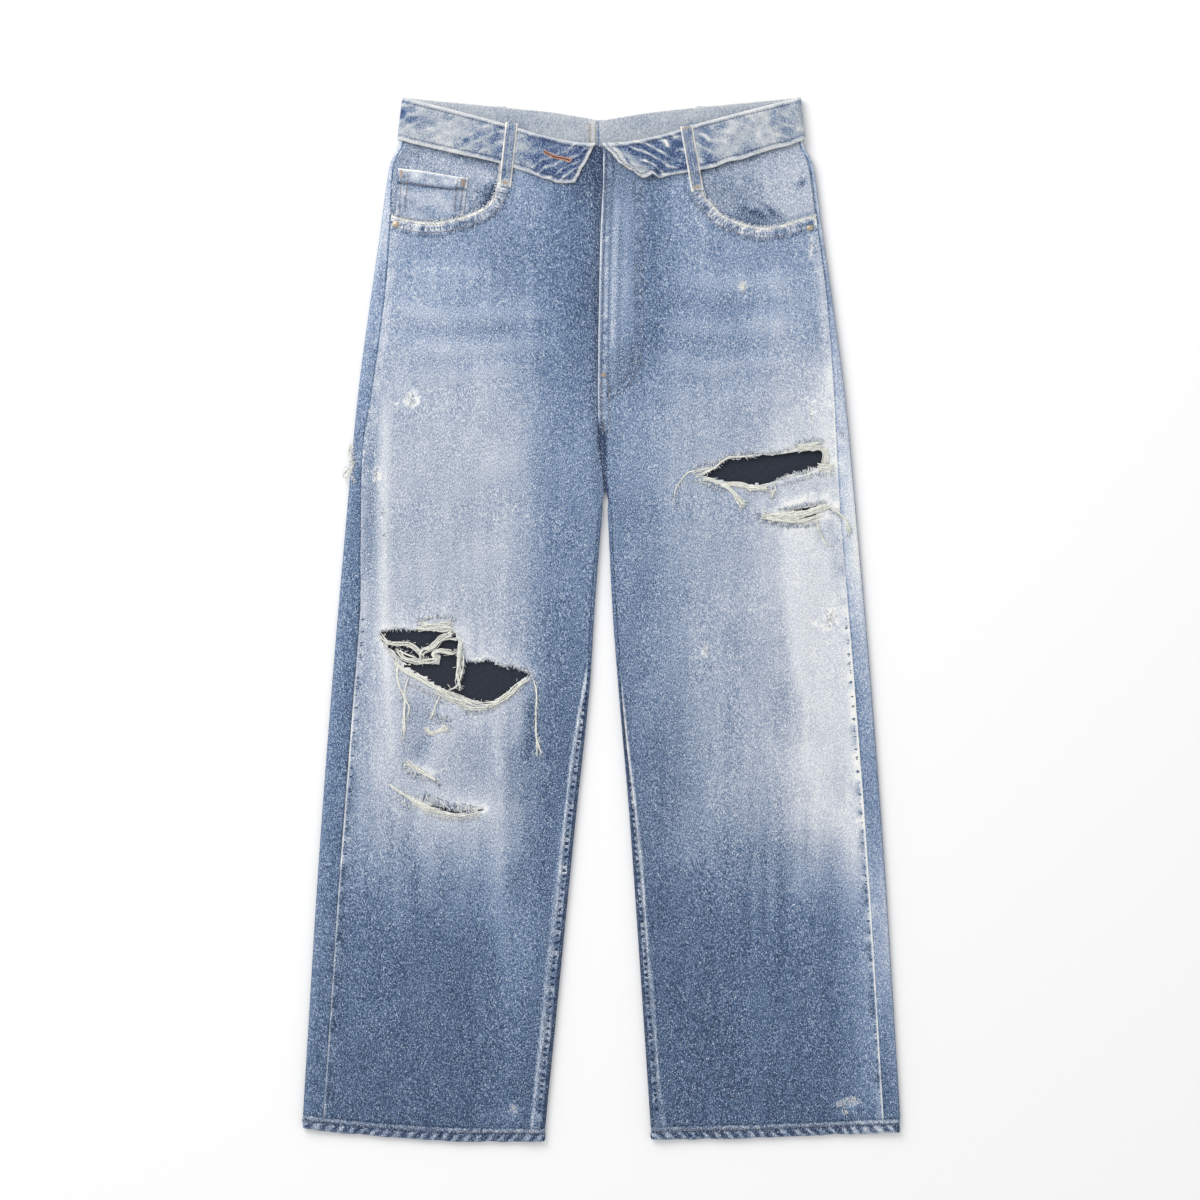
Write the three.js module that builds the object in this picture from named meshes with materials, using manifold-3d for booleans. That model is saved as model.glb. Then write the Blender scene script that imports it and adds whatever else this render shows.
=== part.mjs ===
// Ripped wide-leg jeans laid flat on their back, as a three.js scene graph.
// Millimetres, +Z up. The jeans lie on the plane z = 0 with the waist towards +Y and the front facing +Z.
// "drop" is the distance below the waist corners, along -Y. "out" is the distance from the centre line
// towards the side. Left and right are the wearer's: the right leg lies at -X and the left leg at +X.
import * as THREE from "three";
import Module from "manifold-3d";
import { mergeVertices } from "three/addons/utils/BufferGeometryUtils.js";

const wasm = await Module();
wasm.setup();
const { lerp, smoothstep, degToRad } = THREE.MathUtils;

// ---- Driving dimensions ----
const LENGTH = 1044; // waist corner to the lowest point of the hems
const HEM_HALF_WIDTH = 300; // centre line to the outer edge of a hem
const CLOTH = 1.2; // 12 oz denim
const LIGHT_CLOTH = 1; // pocket facings, pocket bags, coin pocket and zip tape
const BACKING = 1; // dark cloth behind the rips
const BAND = 2; // the waistband's two plies
const HEM = 2.2; // turned-up hem
const SEAM_GAP = 0.3; // clearance between pieces that are sewn together
const CUFF = 43; // depth of the turned-down waistband
const BELOW_CUFF = CUFF + 6; // drop from which the panels swell out past the waistband at the sides
const CUFF_ROOT = 2; // width of the roll where the waistband turns over the panels
const HEM_DEPTH = 13;
const LOOP_WIDTH = 12.5;
const FLY_LENGTH = 292; // drop of the fly's lower end
const CROTCH = 394; // drop of the point where the legs part
const CURL_END = 412; // drop at which the back has turned all the way up round the inner leg
const PANEL_TOP = CUFF_ROOT + 1.5; // where the panels start, inside the roll
const EDGE_WRAP = 4.5; // least width of the back panel that shows in front along a folded edge

const RIGHT = -1;
const LEFT = 1;
const sideName = { [RIGHT]: "right", [LEFT]: "left" };

// ---- Curves ----
// A smooth curve through [position, value] pairs, held level past both ends.
function curve(pairs) {
  const slope = (i) => {
    const [before, after] = [pairs[Math.max(i - 1, 0)], pairs[Math.min(i + 1, pairs.length - 1)]];
    return (after[1] - before[1]) / (after[0] - before[0]);
  };
  return (position) => {
    if (position <= pairs[0][0]) return pairs[0][1];
    if (position >= pairs.at(-1)[0]) return pairs.at(-1)[1];
    const i = pairs.findIndex((pair) => pair[0] > position) - 1;
    const [[p0, v0], [p1, v1]] = [pairs[i], pairs[i + 1]];
    const span = p1 - p0;
    const f = (position - p0) / span;
    const eased = (2 * f ** 3 - 3 * f ** 2 + 1) * v0 + (3 * f ** 2 - 2 * f ** 3) * v1;
    return eased + (f ** 3 - 2 * f ** 2 + f) * span * slope(i) + (f ** 3 - f ** 2) * span * slope(i + 1);
  };
}

// Half width of the jeans' outline at each drop: waist, hip, thigh, knee, hem.
const outline = curve([
  [0, 196.7], [BELOW_CUFF / 2, 199.7], [BELOW_CUFF, 202.7], [60, 208.5], [72, 212.3], [132, 220.5],
  [212, 232], [300, 243.5],
  [450, 257.5], [590, 269.5], [770, 283], [930, 293], [LENGTH, HEM_HALF_WIDTH],
]);
// How far the side seam has rolled on to the front, from the outline.
const sideSeamInset = {
  [RIGHT]: curve([
    [70, EDGE_WRAP], [150, 11], [200, 14], [290, 14], [350, 10.5], [452, 17], [522, 22], [LENGTH, 20],
  ]),
  [LEFT]: curve([[110, EDGE_WRAP], [200, 5.5], [280, 10], [360, 14], [430, 16], [LENGTH, 16.5]]),
};
// "out" of each half's inner edge: the centre front seam down to the crotch, then the inner leg.
const innerEdge = {
  [RIGHT]: curve([
    [66, -1.2], [150, 1.8], [FLY_LENGTH, 4], [340, 2.6], [CROTCH, -3.4], [CURL_END, -1], [512, 7], [592, 12],
    [732, 27], [LENGTH, 59],
  ]),
  [LEFT]: curve([
    [66, 1.5], [150, -1.5], [FLY_LENGTH, -3.7], [340, -2.3], [CROTCH, 4.3], [CURL_END, 6], [512, 11],
    [592, 17], [732, 29], [LENGTH, 51],
  ]),
};
const backSeam = curve([[250, 0], [CROTCH, 3.8]]); // x of the centre back seam
// Extra drop of the waist's top edges towards the centre line, by "out".
const frontDip = curve([[0, 46], [25, 45], [63, 37], [97, 26.5], [151, 12], [199, 0]]);
const backDip = curve([[0, 23], [45, 15.5], [95, 10], [156, 4], [199, 0]]);
// Extra drop of the yoke seam and of each hem, by "out".
const YOKE_DROP = 80;
const yokeDip = curve([[0, 28], [215, -16]]);
const HEM_DROP = LENGTH - 2 * HEM_DEPTH;
const hemTilt = {
  [RIGHT]: curve([[59, 12], [150, 11], [240, 5], [300, -2]]),
  [LEFT]: curve([[51, 10], [150, 8], [300, 2]]),
};

// ---- Heights of the cloth's middle surface above the floor ----
const LEG_FRONT = 4;
const LEG_FRONT_EDGE = 5.6;
const TORSO_FRONT = 7.2;
const LEG_BACK = CLOTH / 2;
const TORSO_BACK = 2.1; // leaves room for the patch pockets underneath
const WAIST_BACK = 4.4; // leaves room for the turned-down waistband and the belt loops underneath
const [LEG_START, LEG_LEVEL] = [300, 560]; // drops between which the front sinks from hip to leg
const [PUFF_START, PUFF_END] = [6, 34]; // an edge's swelling fades out between these distances from it

const backHeight = (drop) =>
  LEG_BACK
  + (TORSO_BACK - LEG_BACK) * (1 - smoothstep(drop, 320, 380))
  + (WAIST_BACK - TORSO_BACK) * (1 - smoothstep(drop, 72, 122));

function frontHeight(side, out, drop) {
  const sunk = smoothstep(drop, LEG_START, LEG_LEVEL);
  const fromInner = drop > CROTCH ? out - innerEdge[side](drop) : Infinity;
  const fromEdge = Math.min(outline(drop) - out, fromInner);
  const puff = 1 - smoothstep(fromEdge, PUFF_START, PUFF_END);
  return lerp(TORSO_FRONT, lerp(LEG_FRONT, LEG_FRONT_EDGE, puff), sunk);
}

// Drop of a point at station "drop" of a panel whose cut ends follow guide curves.
function guidedDrop(guides, drop, out) {
  const i = Math.min(Math.max(guides.findIndex(([at]) => at >= drop), 1), guides.length - 1);
  const [[before, low], [after, high]] = [guides[i - 1], guides[i]];
  return drop + lerp(low(out), high(out), (drop - before) / (after - before));
}
const level = () => 0;
const frontGuides = (side) => [[PANEL_TOP, frontDip], [130, level], [700, level], [HEM_DROP, hemTilt[side]]];
const backGuides = (side) => [
  [PANEL_TOP, backDip], [YOKE_DROP, yokeDip], [300, level], [700, level], [HEM_DROP, hemTilt[side]],
];

// ---- Solids ----
const point = (side, out, drop, z) => new THREE.Vector3(side * out, LENGTH / 2 - drop, z);

// A closed mesh through rings of points. Without "closed" its two ends are capped.
function loft(rings, { closed = false, capFaces = acrossThickness } = {}) {
  const size = rings[0].length;
  const index = [];
  const spans = closed ? rings.length : rings.length - 1;
  for (let i = 0; i < spans; i++) {
    const [a, b] = [i * size, ((i + 1) % rings.length) * size];
    for (let j = 0; j < size; j++) {
      const k = (j + 1) % size;
      index.push(a + j, a + k, b + j, a + k, b + k, b + j);
    }
  }
  if (!closed) {
    const last = (rings.length - 1) * size;
    for (const [a, b, c] of capFaces(rings[0])) index.push(c, b, a);
    for (const [a, b, c] of capFaces(rings.at(-1))) index.push(last + a, last + b, last + c);
  }
  const geometry = new THREE.BufferGeometry();
  const coordinates = rings.flat().flatMap((p) => p.toArray());
  geometry.setAttribute("position", new THREE.Float32BufferAttribute(coordinates, 3));
  geometry.setIndex(index);
  return facingOut(geometry);
}

// Cap of a ring whose second half runs back along the first, as a strip's does.
function acrossThickness(ring) {
  const faces = [];
  for (let j = 0; j < ring.length / 2 - 1; j++) {
    const opposite = ring.length - 1 - j;
    faces.push([j, j + 1, opposite], [j + 1, opposite - 1, opposite]);
  }
  return faces;
}

// Cap of a ring that is a simple outline once "flat" has laid it in a plane.
const acrossOutline = (flat) => (ring) => {
  const corners = ring.map(flat);
  const ringTurn = Math.sign(THREE.ShapeUtils.area(corners));
  return THREE.ShapeUtils.triangulateShape(corners, []).map(([a, b, c]) => {
    const turn = Math.sign(THREE.ShapeUtils.area([corners[a], corners[b], corners[c]]));
    return turn === ringTurn ? [a, b, c] : [c, b, a];
  });
};
const acrossSideView = acrossOutline((p) => new THREE.Vector2(p.y, p.z));
const acrossPlan = acrossOutline((p) => new THREE.Vector2(p.x, p.y));

// Turns a mesh's faces outwards.
function facingOut(geometry) {
  const position = geometry.getAttribute("position");
  const corners = [new THREE.Vector3(), new THREE.Vector3(), new THREE.Vector3()];
  let volume = 0;
  for (let i = 0; i < geometry.index.count; i += 3) {
    corners.forEach((corner, j) => corner.fromBufferAttribute(position, geometry.index.getX(i + j)));
    volume += corners[0].dot(corners[1].clone().cross(corners[2]));
  }
  if (volume < 0) geometry.setIndex([...geometry.index.array].reverse());
  return geometry;
}

// The closed ring of a strip of cloth around its middle line of [out, drop, z] points.
function strip(side, middle, thickness) {
  const normals = middle.map((_, i) => {
    const [a, b] = [middle[Math.max(i - 1, 0)], middle[Math.min(i + 1, middle.length - 1)]];
    return new THREE.Vector2(b[2] - a[2], a[0] - b[0]).setLength(thickness / 2);
  });
  const face = (sign) => middle.map(([out, drop, z], i) =>
    point(side, out + sign * normals[i].x, drop, z + sign * normals[i].y));
  return [...face(1), ...face(-1).reverse()];
}

// A flat sheet whose outline is given as [out, drop] points, lying between two heights.
function sheet(side, corners, bottom, thickness) {
  const ring = (z) => corners.map(([out, drop]) => point(side, out, drop, z));
  return loft([ring(bottom), ring(bottom + thickness)], { capFaces: acrossPlan });
}

function toManifold(geometry) {
  const bare = geometry.clone();
  bare.deleteAttribute("normal");
  bare.deleteAttribute("uv");
  const merged = mergeVertices(bare, 1e-4);
  const vertProperties = new Float32Array(merged.getAttribute("position").array);
  const triVerts = new Uint32Array(merged.index.array);
  return new wasm.Manifold(new wasm.Mesh({ numProp: 3, vertProperties, triVerts }));
}

function cutOut(geometry, cutters) {
  const solid = cutters.reduce((rest, cutter) => rest.subtract(toManifold(cutter)), toManifold(geometry));
  const { vertProperties, triVerts } = solid.getMesh();
  const result = new THREE.BufferGeometry();
  result.setAttribute("position", new THREE.BufferAttribute(new Float32Array(vertProperties), 3));
  result.setIndex([...triVerts]);
  return result;
}

// ---- Materials ----
const finish = (color, roughness, metalness = 0) =>
  new THREE.MeshStandardMaterial({ color, roughness, metalness });
const denim = finish(0x7f9cc2, 0.9);
const denimInside = finish(0xc3c8cf, 0.92);
const darkCloth = finish(0x2f3642, 0.95);
const pocketing = finish(0xe6e2d6, 0.95);
const brass = finish(0x9a7b45, 0.45, 1);

const jeans = new THREE.Group();
function add(name, geometry, material) {
  const mesh = new THREE.Mesh(geometry, material);
  mesh.name = name;
  jeans.add(mesh);
}

// ---- Fronts ----
// Drop of the pocket opening at each "out". Above it the pocket facing shows.
const pocketCurve = {
  [RIGHT]: [[96, 30], [104, 86], [110, 103], [121, 112], [138, 119], [161, 124], [181, 124], [198, 121]],
  [LEFT]: [[92, 30], [99, 88], [110, 106], [122, 118], [141, 126], [161, 130], [182, 127], [200, 121]],
};
const POCKET_OUTER_DROP = 117; // where the opening meets the side seam
const BEYOND = 235; // any "out" past the panels at pocket height

// Rips, as [out, drop] outlines.
const rips = {
  [RIGHT]: [
    [
      [222, 535], [204, 531], [160, 532], [147, 534], [150, 548], [162, 556], [178, 556], [199, 547],
      [213, 545],
    ],
    [
      [199, 567], [180, 563], [160, 557], [144, 557], [127, 564], [113, 561], [101, 569], [80, 575],
      [71, 577], [81, 584], [102, 599], [116, 606], [132, 602], [152, 594], [172, 585], [188, 573],
    ],
    [[168, 709], [142, 709], [130, 713], [113, 711], [130, 717], [160, 714]],
  ],
  [LEFT]: [
    [
      [100, 377], [110, 371], [125, 361], [156, 358], [184, 358], [194, 354], [220, 352], [223, 355],
      [221, 368], [211, 373], [193, 377], [181, 379], [169, 386], [135, 386], [124, 385], [113, 380],
    ],
    [[176, 414], [197, 409], [211, 409], [212, 421], [197, 423], [192, 417]],
  ],
};

const frontStations = [
  PANEL_TOP, BELOW_CUFF / 2, BELOW_CUFF, 72, 100, 130, 165, 200, 235, 268, 300, 332, 364, CROTCH,
  CURL_END, 440, 470, 500, 530, 560, 600, 640, 680, 725, 775, 825, 875, 925, 975, HEM_DROP,
];
const frontSpread = [0, 0.035, 0.08, 0.14, 0.22, 0.3, 0.4, 0.5, 0.6, 0.7, 0.8, 0.88, 0.94, 1];

// The front's inner end: on the centre seam, then just past the strip of back that shows at the inner leg.
function frontInner(side, drop) {
  const turned = THREE.MathUtils.clamp((drop - CROTCH) / (CURL_END - CROTCH), 0, 1);
  return innerEdge[side](drop) + (EDGE_WRAP + SEAM_GAP) * turned;
}
const frontOuter = (side, drop) => outline(drop) - sideSeamInset[side](drop) - SEAM_GAP;

function frontPanel(side) {
  const rings = frontStations.map((station) => {
    const edgeDrop = guidedDrop(frontGuides(side), station, outline(station));
    const [from, to] = [frontInner(side, station), frontOuter(side, edgeDrop)];
    const middle = frontSpread.map((f) => {
      const out = lerp(from, to, f);
      return [out, guidedDrop(frontGuides(side), station, out), frontHeight(side, out, station)];
    });
    return strip(side, middle, CLOTH);
  });
  const opening = [...pocketCurve[side], [BEYOND, POCKET_OUTER_DROP], [BEYOND, -20], [96, -20]];
  const cutters = [opening, ...rips[side]].map((corners) => sheet(side, corners, -1, 20));
  return cutOut(loft(rings), cutters);
}

// ---- Backs and yokes ----
const backStations = [
  YOKE_DROP, 110, 140, 175, 210, 250, 300, 330, 355, 380, CROTCH, CURL_END, 440, 470, 500, 530, 560,
  600, 640, 680, 725, 775, 825, 875, 925, 975, HEM_DROP,
];
const yokeStations = [PANEL_TOP, BELOW_CUFF / 2, BELOW_CUFF, 62, YOKE_DROP - SEAM_GAP];
const bends = [0, 45, 90, 135, 180].map(degToRad);

// Middle line of the back at one station: from the side seam in front, round the outer edge, under the
// body and, below the crotch, up round the inner leg to the inseam in front.
function backMiddle(side, station, guides) {
  const [low, high] = [backHeight(station), frontHeight(side, outline(station), station)];
  const radius = (high - low) / 2;
  const centreHeight = (high + low) / 2;
  const edgeDrop = guidedDrop(guides, station, outline(station));
  const outerCentre = outline(edgeDrop) - CLOTH / 2 - radius;
  const line = [[outline(edgeDrop) - sideSeamInset[side](edgeDrop), high]];
  for (const bend of bends) {
    line.push([outerCentre + radius * Math.sin(bend), centreHeight + radius * Math.cos(bend)]);
  }
  const inner = station < CROTCH ? side * backSeam(station) + SEAM_GAP / 2 : innerEdge[side](station);
  const underCurl = inner + radius + CLOTH / 2 + 1;
  for (const f of [0.25, 0.5, 0.75]) line.push([lerp(outerCentre, underCurl, f), low]);
  if (station < CURL_END) {
    for (const f of [0, 0.2, 0.4, 0.6, 0.8, 1]) line.push([lerp(underCurl, inner, f), low]);
  } else {
    const innerCentre = inner + CLOTH / 2 + radius;
    for (const bend of bends) {
      line.push([innerCentre - radius * Math.sin(bend), centreHeight - radius * Math.cos(bend)]);
    }
    line.push([inner + EDGE_WRAP, high]);
  }
  return line.map(([out, z]) => [out, guidedDrop(guides, station, out), z]);
}

function backPiece(side, stations) {
  return loft(stations.map((station) => strip(side, backMiddle(side, station, backGuides(side)), CLOTH)));
}

// ---- Waistband ----
// Each half runs from its free end in front, round the side, to the centre back seam underneath.
const FLAP_END = 6; // "out" of a free end at its top corner
const FLAP_SLANT = 21; // how much further out its bottom corner lies
const SLANT_FADE = 75; // "out" at which the band's cross lines stand straight
const BUTTON_LIFT = 3; // the left end rides over the button beneath it
const bandGap = BAND / 2 + SEAM_GAP + CLOTH / 2; // between the middles of the band and of the panel
const bandFront = TORSO_FRONT + bandGap;
const bandBack = WAIST_BACK - bandGap;

function waistband(side) {
  const radius = (bandFront - bandBack) / 2;
  const edge = outline(0) - CLOTH / 2 - (TORSO_FRONT - WAIST_BACK) / 2;
  const rings = [];
  const addRing = (out, z, bend, dip, root) => {
    const [nx, nz] = [Math.sin(bend), Math.cos(bend)];
    const slant = bend === 0 ? FLAP_SLANT * (1 - smoothstep(out, FLAP_END, SLANT_FADE)) : 0;
    const widen = (outline(CUFF) - outline(0)) * smoothstep(out, 120, edge);
    const corner = (down, offset) => {
      const shift = (slant + widen) * (down / CUFF);
      return point(side, out + nx * offset + shift, dip(out) + down, z + nz * offset);
    };
    const half = BAND / 2;
    rings.push([
      corner(0, half), corner(CUFF, half), corner(CUFF, -half),
      corner(CUFF_ROOT, -half), corner(CUFF_ROOT, -half - root), corner(0, -half - root),
    ]);
  };
  const root = SEAM_GAP + CLOTH;
  const frontOuts = [FLAP_END, 20, 36, 50, 63, 80, 97, 115, 133, 151, 168, 184, edge];
  for (const out of frontOuts) {
    const lift = side === LEFT ? BUTTON_LIFT * (1 - smoothstep(out, 34, 74)) : 0;
    addRing(out, bandFront + lift, 0, frontDip, root + lift);
  }
  const middleHeight = (bandFront + bandBack) / 2;
  for (const bend of bends.slice(1, -1)) {
    addRing(edge + radius * Math.sin(bend), middleHeight + radius * Math.cos(bend), bend, () => 0, root);
  }
  for (const out of [edge, 175, 156, 126, 95, 70, 45, 22, SEAM_GAP / 2]) {
    addRing(out, bandBack, Math.PI, backDip, root);
  }
  return loft(rings, { capFaces: acrossSideView });
}

// ---- Pockets ----
const facingHeight = TORSO_FRONT - CLOTH / 2 - SEAM_GAP - LIGHT_CLOTH; // underside of a facing
const facingLap = 16; // how far a facing runs on beneath the front
const bagHeight = facingHeight - SEAM_GAP - LIGHT_CLOTH;
const facingOuter = (drop) => outline(drop) - EDGE_WRAP - 1;

function pocketFacing(side) {
  const lowerEdge = pocketCurve[side].slice(1).map(([out, drop]) => [out - facingLap / 2, drop + facingLap]);
  const upper = [190, 160, 130, 96].map((out) => [out, frontDip(out) + PANEL_TOP]);
  const outer = [132, 100, 66, 34, PANEL_TOP].map((drop) => [facingOuter(drop), drop]);
  return sheet(side, [...lowerEdge, ...outer, ...upper], facingHeight, LIGHT_CLOTH);
}

// The bag hangs from the facing inside the front, with a rounded foot.
const BAG_TOP = 118;
function pocketBag(side) {
  const foot = [0, 30, 60, 90, 120, 150, 180].map(degToRad)
    .map((turn) => [136 + 62 * Math.cos(turn), 205 + 45 * Math.sin(turn)]);
  return sheet(side, [...foot, ...[80, 117, 154, 192].map((out) => [out, BAG_TOP])], bagHeight, LIGHT_CLOTH);
}

// The coin pocket shows whole inside the right-hand opening.
const coinCorners = [[203, 71], [133, 81], [138, 116.5], [160, 117.5], [206, 116]];

// A patch pocket lies under each back, between it and the floor.
const patchCorners = [[50, 152], [186, 146], [190, 262], [122, 300], [54, 268]];
const patchHeight = TORSO_BACK - CLOTH / 2 - SEAM_GAP - CLOTH;

// ---- Fly ----
// The fly facing, the zip and the shield lie side by side under the fronts, as [across, drop] outlines.
const flyHeight = facingHeight;
const flyFacing = [[8, 54], [36, 54], [36, 236], [28, 264], [8, FLY_LENGTH - 6]];
const zipTape = [[-7.5, 54], [7.7, 54], [7.7, FLY_LENGTH - 6], [-7.5, FLY_LENGTH - 6]];
const flyShield = [[-32, 54], [-7.8, 54], [-7.8, FLY_LENGTH - 6], [-32, 262]];

// ---- Belt loops ----
// Side view of a loop as [distance along it, height] from its top end: over the band, then down on the panel.
function beltLoop(side, top, bottom, base, above) {
  const direction = new THREE.Vector2(bottom[0] - top[0], bottom[1] - top[1]);
  const length = direction.length();
  direction.normalize();
  const step = top[2];
  const high = base + above * (BAND + SEAM_GAP);
  const profile = [
    [0, high], [step, high], [step + 3, base], [length, base],
    [length, base + above * CLOTH], [step + 4, base + above * CLOTH], [step + 1, high + above * CLOTH],
    [0, high + above * CLOTH],
  ];
  const ring = (half) => profile.map(([along, z]) => point(
    side,
    top[0] + direction.x * along - direction.y * half,
    top[1] + direction.y * along + direction.x * half,
    z,
  ));
  return loft([ring(-LOOP_WIDTH / 2), ring(LOOP_WIDTH / 2)], { capFaces: acrossSideView });
}
const onFront = TORSO_FRONT + CLOTH / 2 + SEAM_GAP;
const BACK_LOOP = 56; // length of a back loop
const onBack = WAIST_BACK - CLOTH / 2 - SEAM_GAP;

// ---- Hems ----
function hem(side) {
  const station = HEM_DROP;
  const [low, high] = [HEM / 2, frontHeight(side, outline(station), station)];
  const radius = (high - low) / 2;
  const [inner, outer] = [innerEdge[side](station) + HEM / 2 + radius, outline(station) - HEM / 2 - radius];
  const line = frontSpread.map((f) => {
    const out = lerp(inner, outer, f);
    return [out, frontHeight(side, out, station), 0, 1];
  });
  const turn = (centre, sign, order) => order.map((bend) => {
    const [nx, nz] = [sign * Math.sin(bend), Math.cos(bend)];
    return [centre + radius * nx, (low + high) / 2 + radius * nz, nx, nz];
  });
  const round = bends.slice(1, -1);
  line.push(...turn(outer, 1, round));
  for (const f of [0, 0.25, 0.5, 0.75, 1]) line.push([lerp(outer, inner, f), low, 0, -1]);
  line.push(...turn(inner, -1, [...round].reverse()));
  const rings = line.map(([out, z, nx, nz]) => {
    const corner = (along, offset) =>
      point(side, out + nx * offset, station + SEAM_GAP + hemTilt[side](out) + along, z + nz * offset);
    return [corner(0, HEM / 2), corner(HEM_DEPTH, HEM / 2), corner(HEM_DEPTH, -HEM / 2), corner(0, -HEM / 2)];
  });
  return loft(rings, { closed: true });
}

// ---- Metal ----
const rivet = { radius: 3.5, height: 1.2 };
const button = { radius: 8.5, height: 2.4 };
function stud(side, out, drop, bottom, { radius, height }) {
  const profile = [[0, 0], [radius, 0], [radius, height * 0.5], [radius * 0.6, height], [0, height]];
  const geometry = new THREE.LatheGeometry(profile.map(([r, z]) => new THREE.Vector2(r, z)), 16);
  geometry.rotateX(Math.PI / 2);
  const { x, y } = point(side, out, drop, 0);
  geometry.translate(x, y, bottom);
  return geometry;
}

// ---- Dark cloth behind the rips ----
const kneeBacking = [[40, 505], [236, 505], [240, 735], [52, 735]];
const thighBacking = [[78, 335], [236, 335], [240, 450], [78, 450]];
const THIGH_BACKING_HEIGHT = 2.8; // its underside, where the back still stands off the floor

// ---- Assembly ----
for (const side of [RIGHT, LEFT]) {
  const name = sideName[side];
  add(`front_${name}`, frontPanel(side), denim);
  add(`back_${name}`, backPiece(side, backStations), denim);
  add(`yoke_${name}`, backPiece(side, yokeStations), denim);
  add(`waistband_${name}`, waistband(side), denimInside);
  add(`pocket_facing_${name}`, pocketFacing(side), denim);
  add(`pocket_bag_${name}`, pocketBag(side), pocketing);
  add(`back_pocket_${name}`, sheet(side, patchCorners, patchHeight, CLOTH), denim);
  add(`hem_${name}`, hem(side), denim);
}
add("coin_pocket", sheet(RIGHT, coinCorners, facingHeight + LIGHT_CLOTH + SEAM_GAP, LIGHT_CLOTH), denim);
add("rip_backing_right", sheet(RIGHT, kneeBacking, CLOTH + SEAM_GAP, BACKING), darkCloth);
add("rip_backing_left", sheet(LEFT, thighBacking, THIGH_BACKING_HEIGHT, BACKING), darkCloth);
add("fly_facing", sheet(LEFT, flyFacing, flyHeight, LIGHT_CLOTH), denim);
add("zip_tape", sheet(LEFT, zipTape, flyHeight, LIGHT_CLOTH), pocketing);
add("fly_shield", sheet(LEFT, flyShield, flyHeight, LIGHT_CLOTH), denim);
add("belt_loop_front_right", beltLoop(RIGHT, [89.5, 26, 46], [96.5, 90], onFront, 1), denim);
add("belt_loop_front_left", beltLoop(LEFT, [84.5, 29, 46], [96, 94], onFront, 1), denim);
for (const [name, out] of [["right", -100], ["centre", 0], ["left", 100]]) {
  const top = backDip(Math.abs(out)) - 1;
  add(`belt_loop_back_${name}`, beltLoop(LEFT, [out, top, 46], [out, top + BACK_LOOP], onBack, -1), denim);
}
add("rivet_right", stud(RIGHT, 205, 127, onFront, rivet), brass);
add("rivet_left", stud(LEFT, 208, 130, onFront, rivet), brass);
add("button", stud(LEFT, 29, 64, onFront, button), brass);

export default jeans;
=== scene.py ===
"""Ripped wide-leg jeans laid flat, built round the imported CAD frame.

Sizes are in millimetres until a mesh is made. "x" runs to the wearer's left, "drop" is the distance below
the waist corners, and "out" is the distance from the centre line towards a side.
"""
import math

import bpy
import numpy as np
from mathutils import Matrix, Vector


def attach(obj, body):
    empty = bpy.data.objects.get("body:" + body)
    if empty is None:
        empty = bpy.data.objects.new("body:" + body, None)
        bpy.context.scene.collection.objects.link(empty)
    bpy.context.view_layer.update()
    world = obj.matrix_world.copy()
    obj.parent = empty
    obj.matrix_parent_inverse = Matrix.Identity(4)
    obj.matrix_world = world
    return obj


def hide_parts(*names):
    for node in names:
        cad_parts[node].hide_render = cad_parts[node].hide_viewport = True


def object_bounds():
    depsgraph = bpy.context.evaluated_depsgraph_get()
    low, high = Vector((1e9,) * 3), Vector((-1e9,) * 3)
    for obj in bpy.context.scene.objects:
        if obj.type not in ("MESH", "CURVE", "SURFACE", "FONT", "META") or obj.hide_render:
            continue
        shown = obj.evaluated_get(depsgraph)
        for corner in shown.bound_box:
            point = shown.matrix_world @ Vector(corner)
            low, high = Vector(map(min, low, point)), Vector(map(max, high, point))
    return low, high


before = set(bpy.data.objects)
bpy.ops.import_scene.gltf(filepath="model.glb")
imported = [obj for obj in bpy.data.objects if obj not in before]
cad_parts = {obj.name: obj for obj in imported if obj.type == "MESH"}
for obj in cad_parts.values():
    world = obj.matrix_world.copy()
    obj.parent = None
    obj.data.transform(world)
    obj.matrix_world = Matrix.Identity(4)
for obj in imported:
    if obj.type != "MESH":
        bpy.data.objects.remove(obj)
cad_low, cad_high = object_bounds()

MM = 0.001
RIGHT, LEFT = -1, 1
SIDES = {"right": RIGHT, "left": LEFT}
TOP_Y = cad_high.y / MM  # y of the waist corners, where drop is 0
LENGTH = 1044

# Cloth and seams
CLOTH = 1.2
LIGHT_CLOTH = 1.0
BAND = 2.0
HEM = 2.2
CUFF = 43
HEM_DEPTH = 13
EDGE_WRAP = 4.5
CROTCH = 394
CURL_END = 412
FLY_LENGTH = 292
HEM_DROP = LENGTH - 2 * HEM_DEPTH
YOKE_DROP = 80

# Heights of the cloth's middle surface
LEG_FRONT, LEG_FRONT_EDGE, TORSO_FRONT = 4.0, 5.6, 7.2
LEG_BACK, TORSO_BACK, WAIST_BACK = CLOTH / 2, 2.1, 4.4
BAND_GAP = BAND / 2 + 0.3 + CLOTH / 2
BAND_FRONT = TORSO_FRONT + BAND_GAP
BAND_BACK = WAIST_BACK - BAND_GAP


# ---------------------------------------------------------------- numbers
def curve(*pairs):
    """A smooth curve through (position, value) pairs, level past both ends."""
    p = np.array([a for a, _ in pairs], float)
    v = np.array([b for _, b in pairs], float)
    before = np.maximum(np.arange(len(p)) - 1, 0)
    after = np.minimum(np.arange(len(p)) + 1, len(p) - 1)
    slope = (v[after] - v[before]) / (p[after] - p[before])

    def value(position):
        position = np.clip(np.asarray(position, float), p[0], p[-1])
        i = np.clip(np.searchsorted(p, position, side="right") - 1, 0, len(p) - 2)
        span = p[i + 1] - p[i]
        f = (position - p[i]) / span
        return ((2 * f**3 - 3 * f**2 + 1) * v[i] + (3 * f**2 - 2 * f**3) * v[i + 1]
                + (f**3 - 2 * f**2 + f) * span * slope[i] + (f**3 - f**2) * span * slope[i + 1])
    return value


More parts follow.
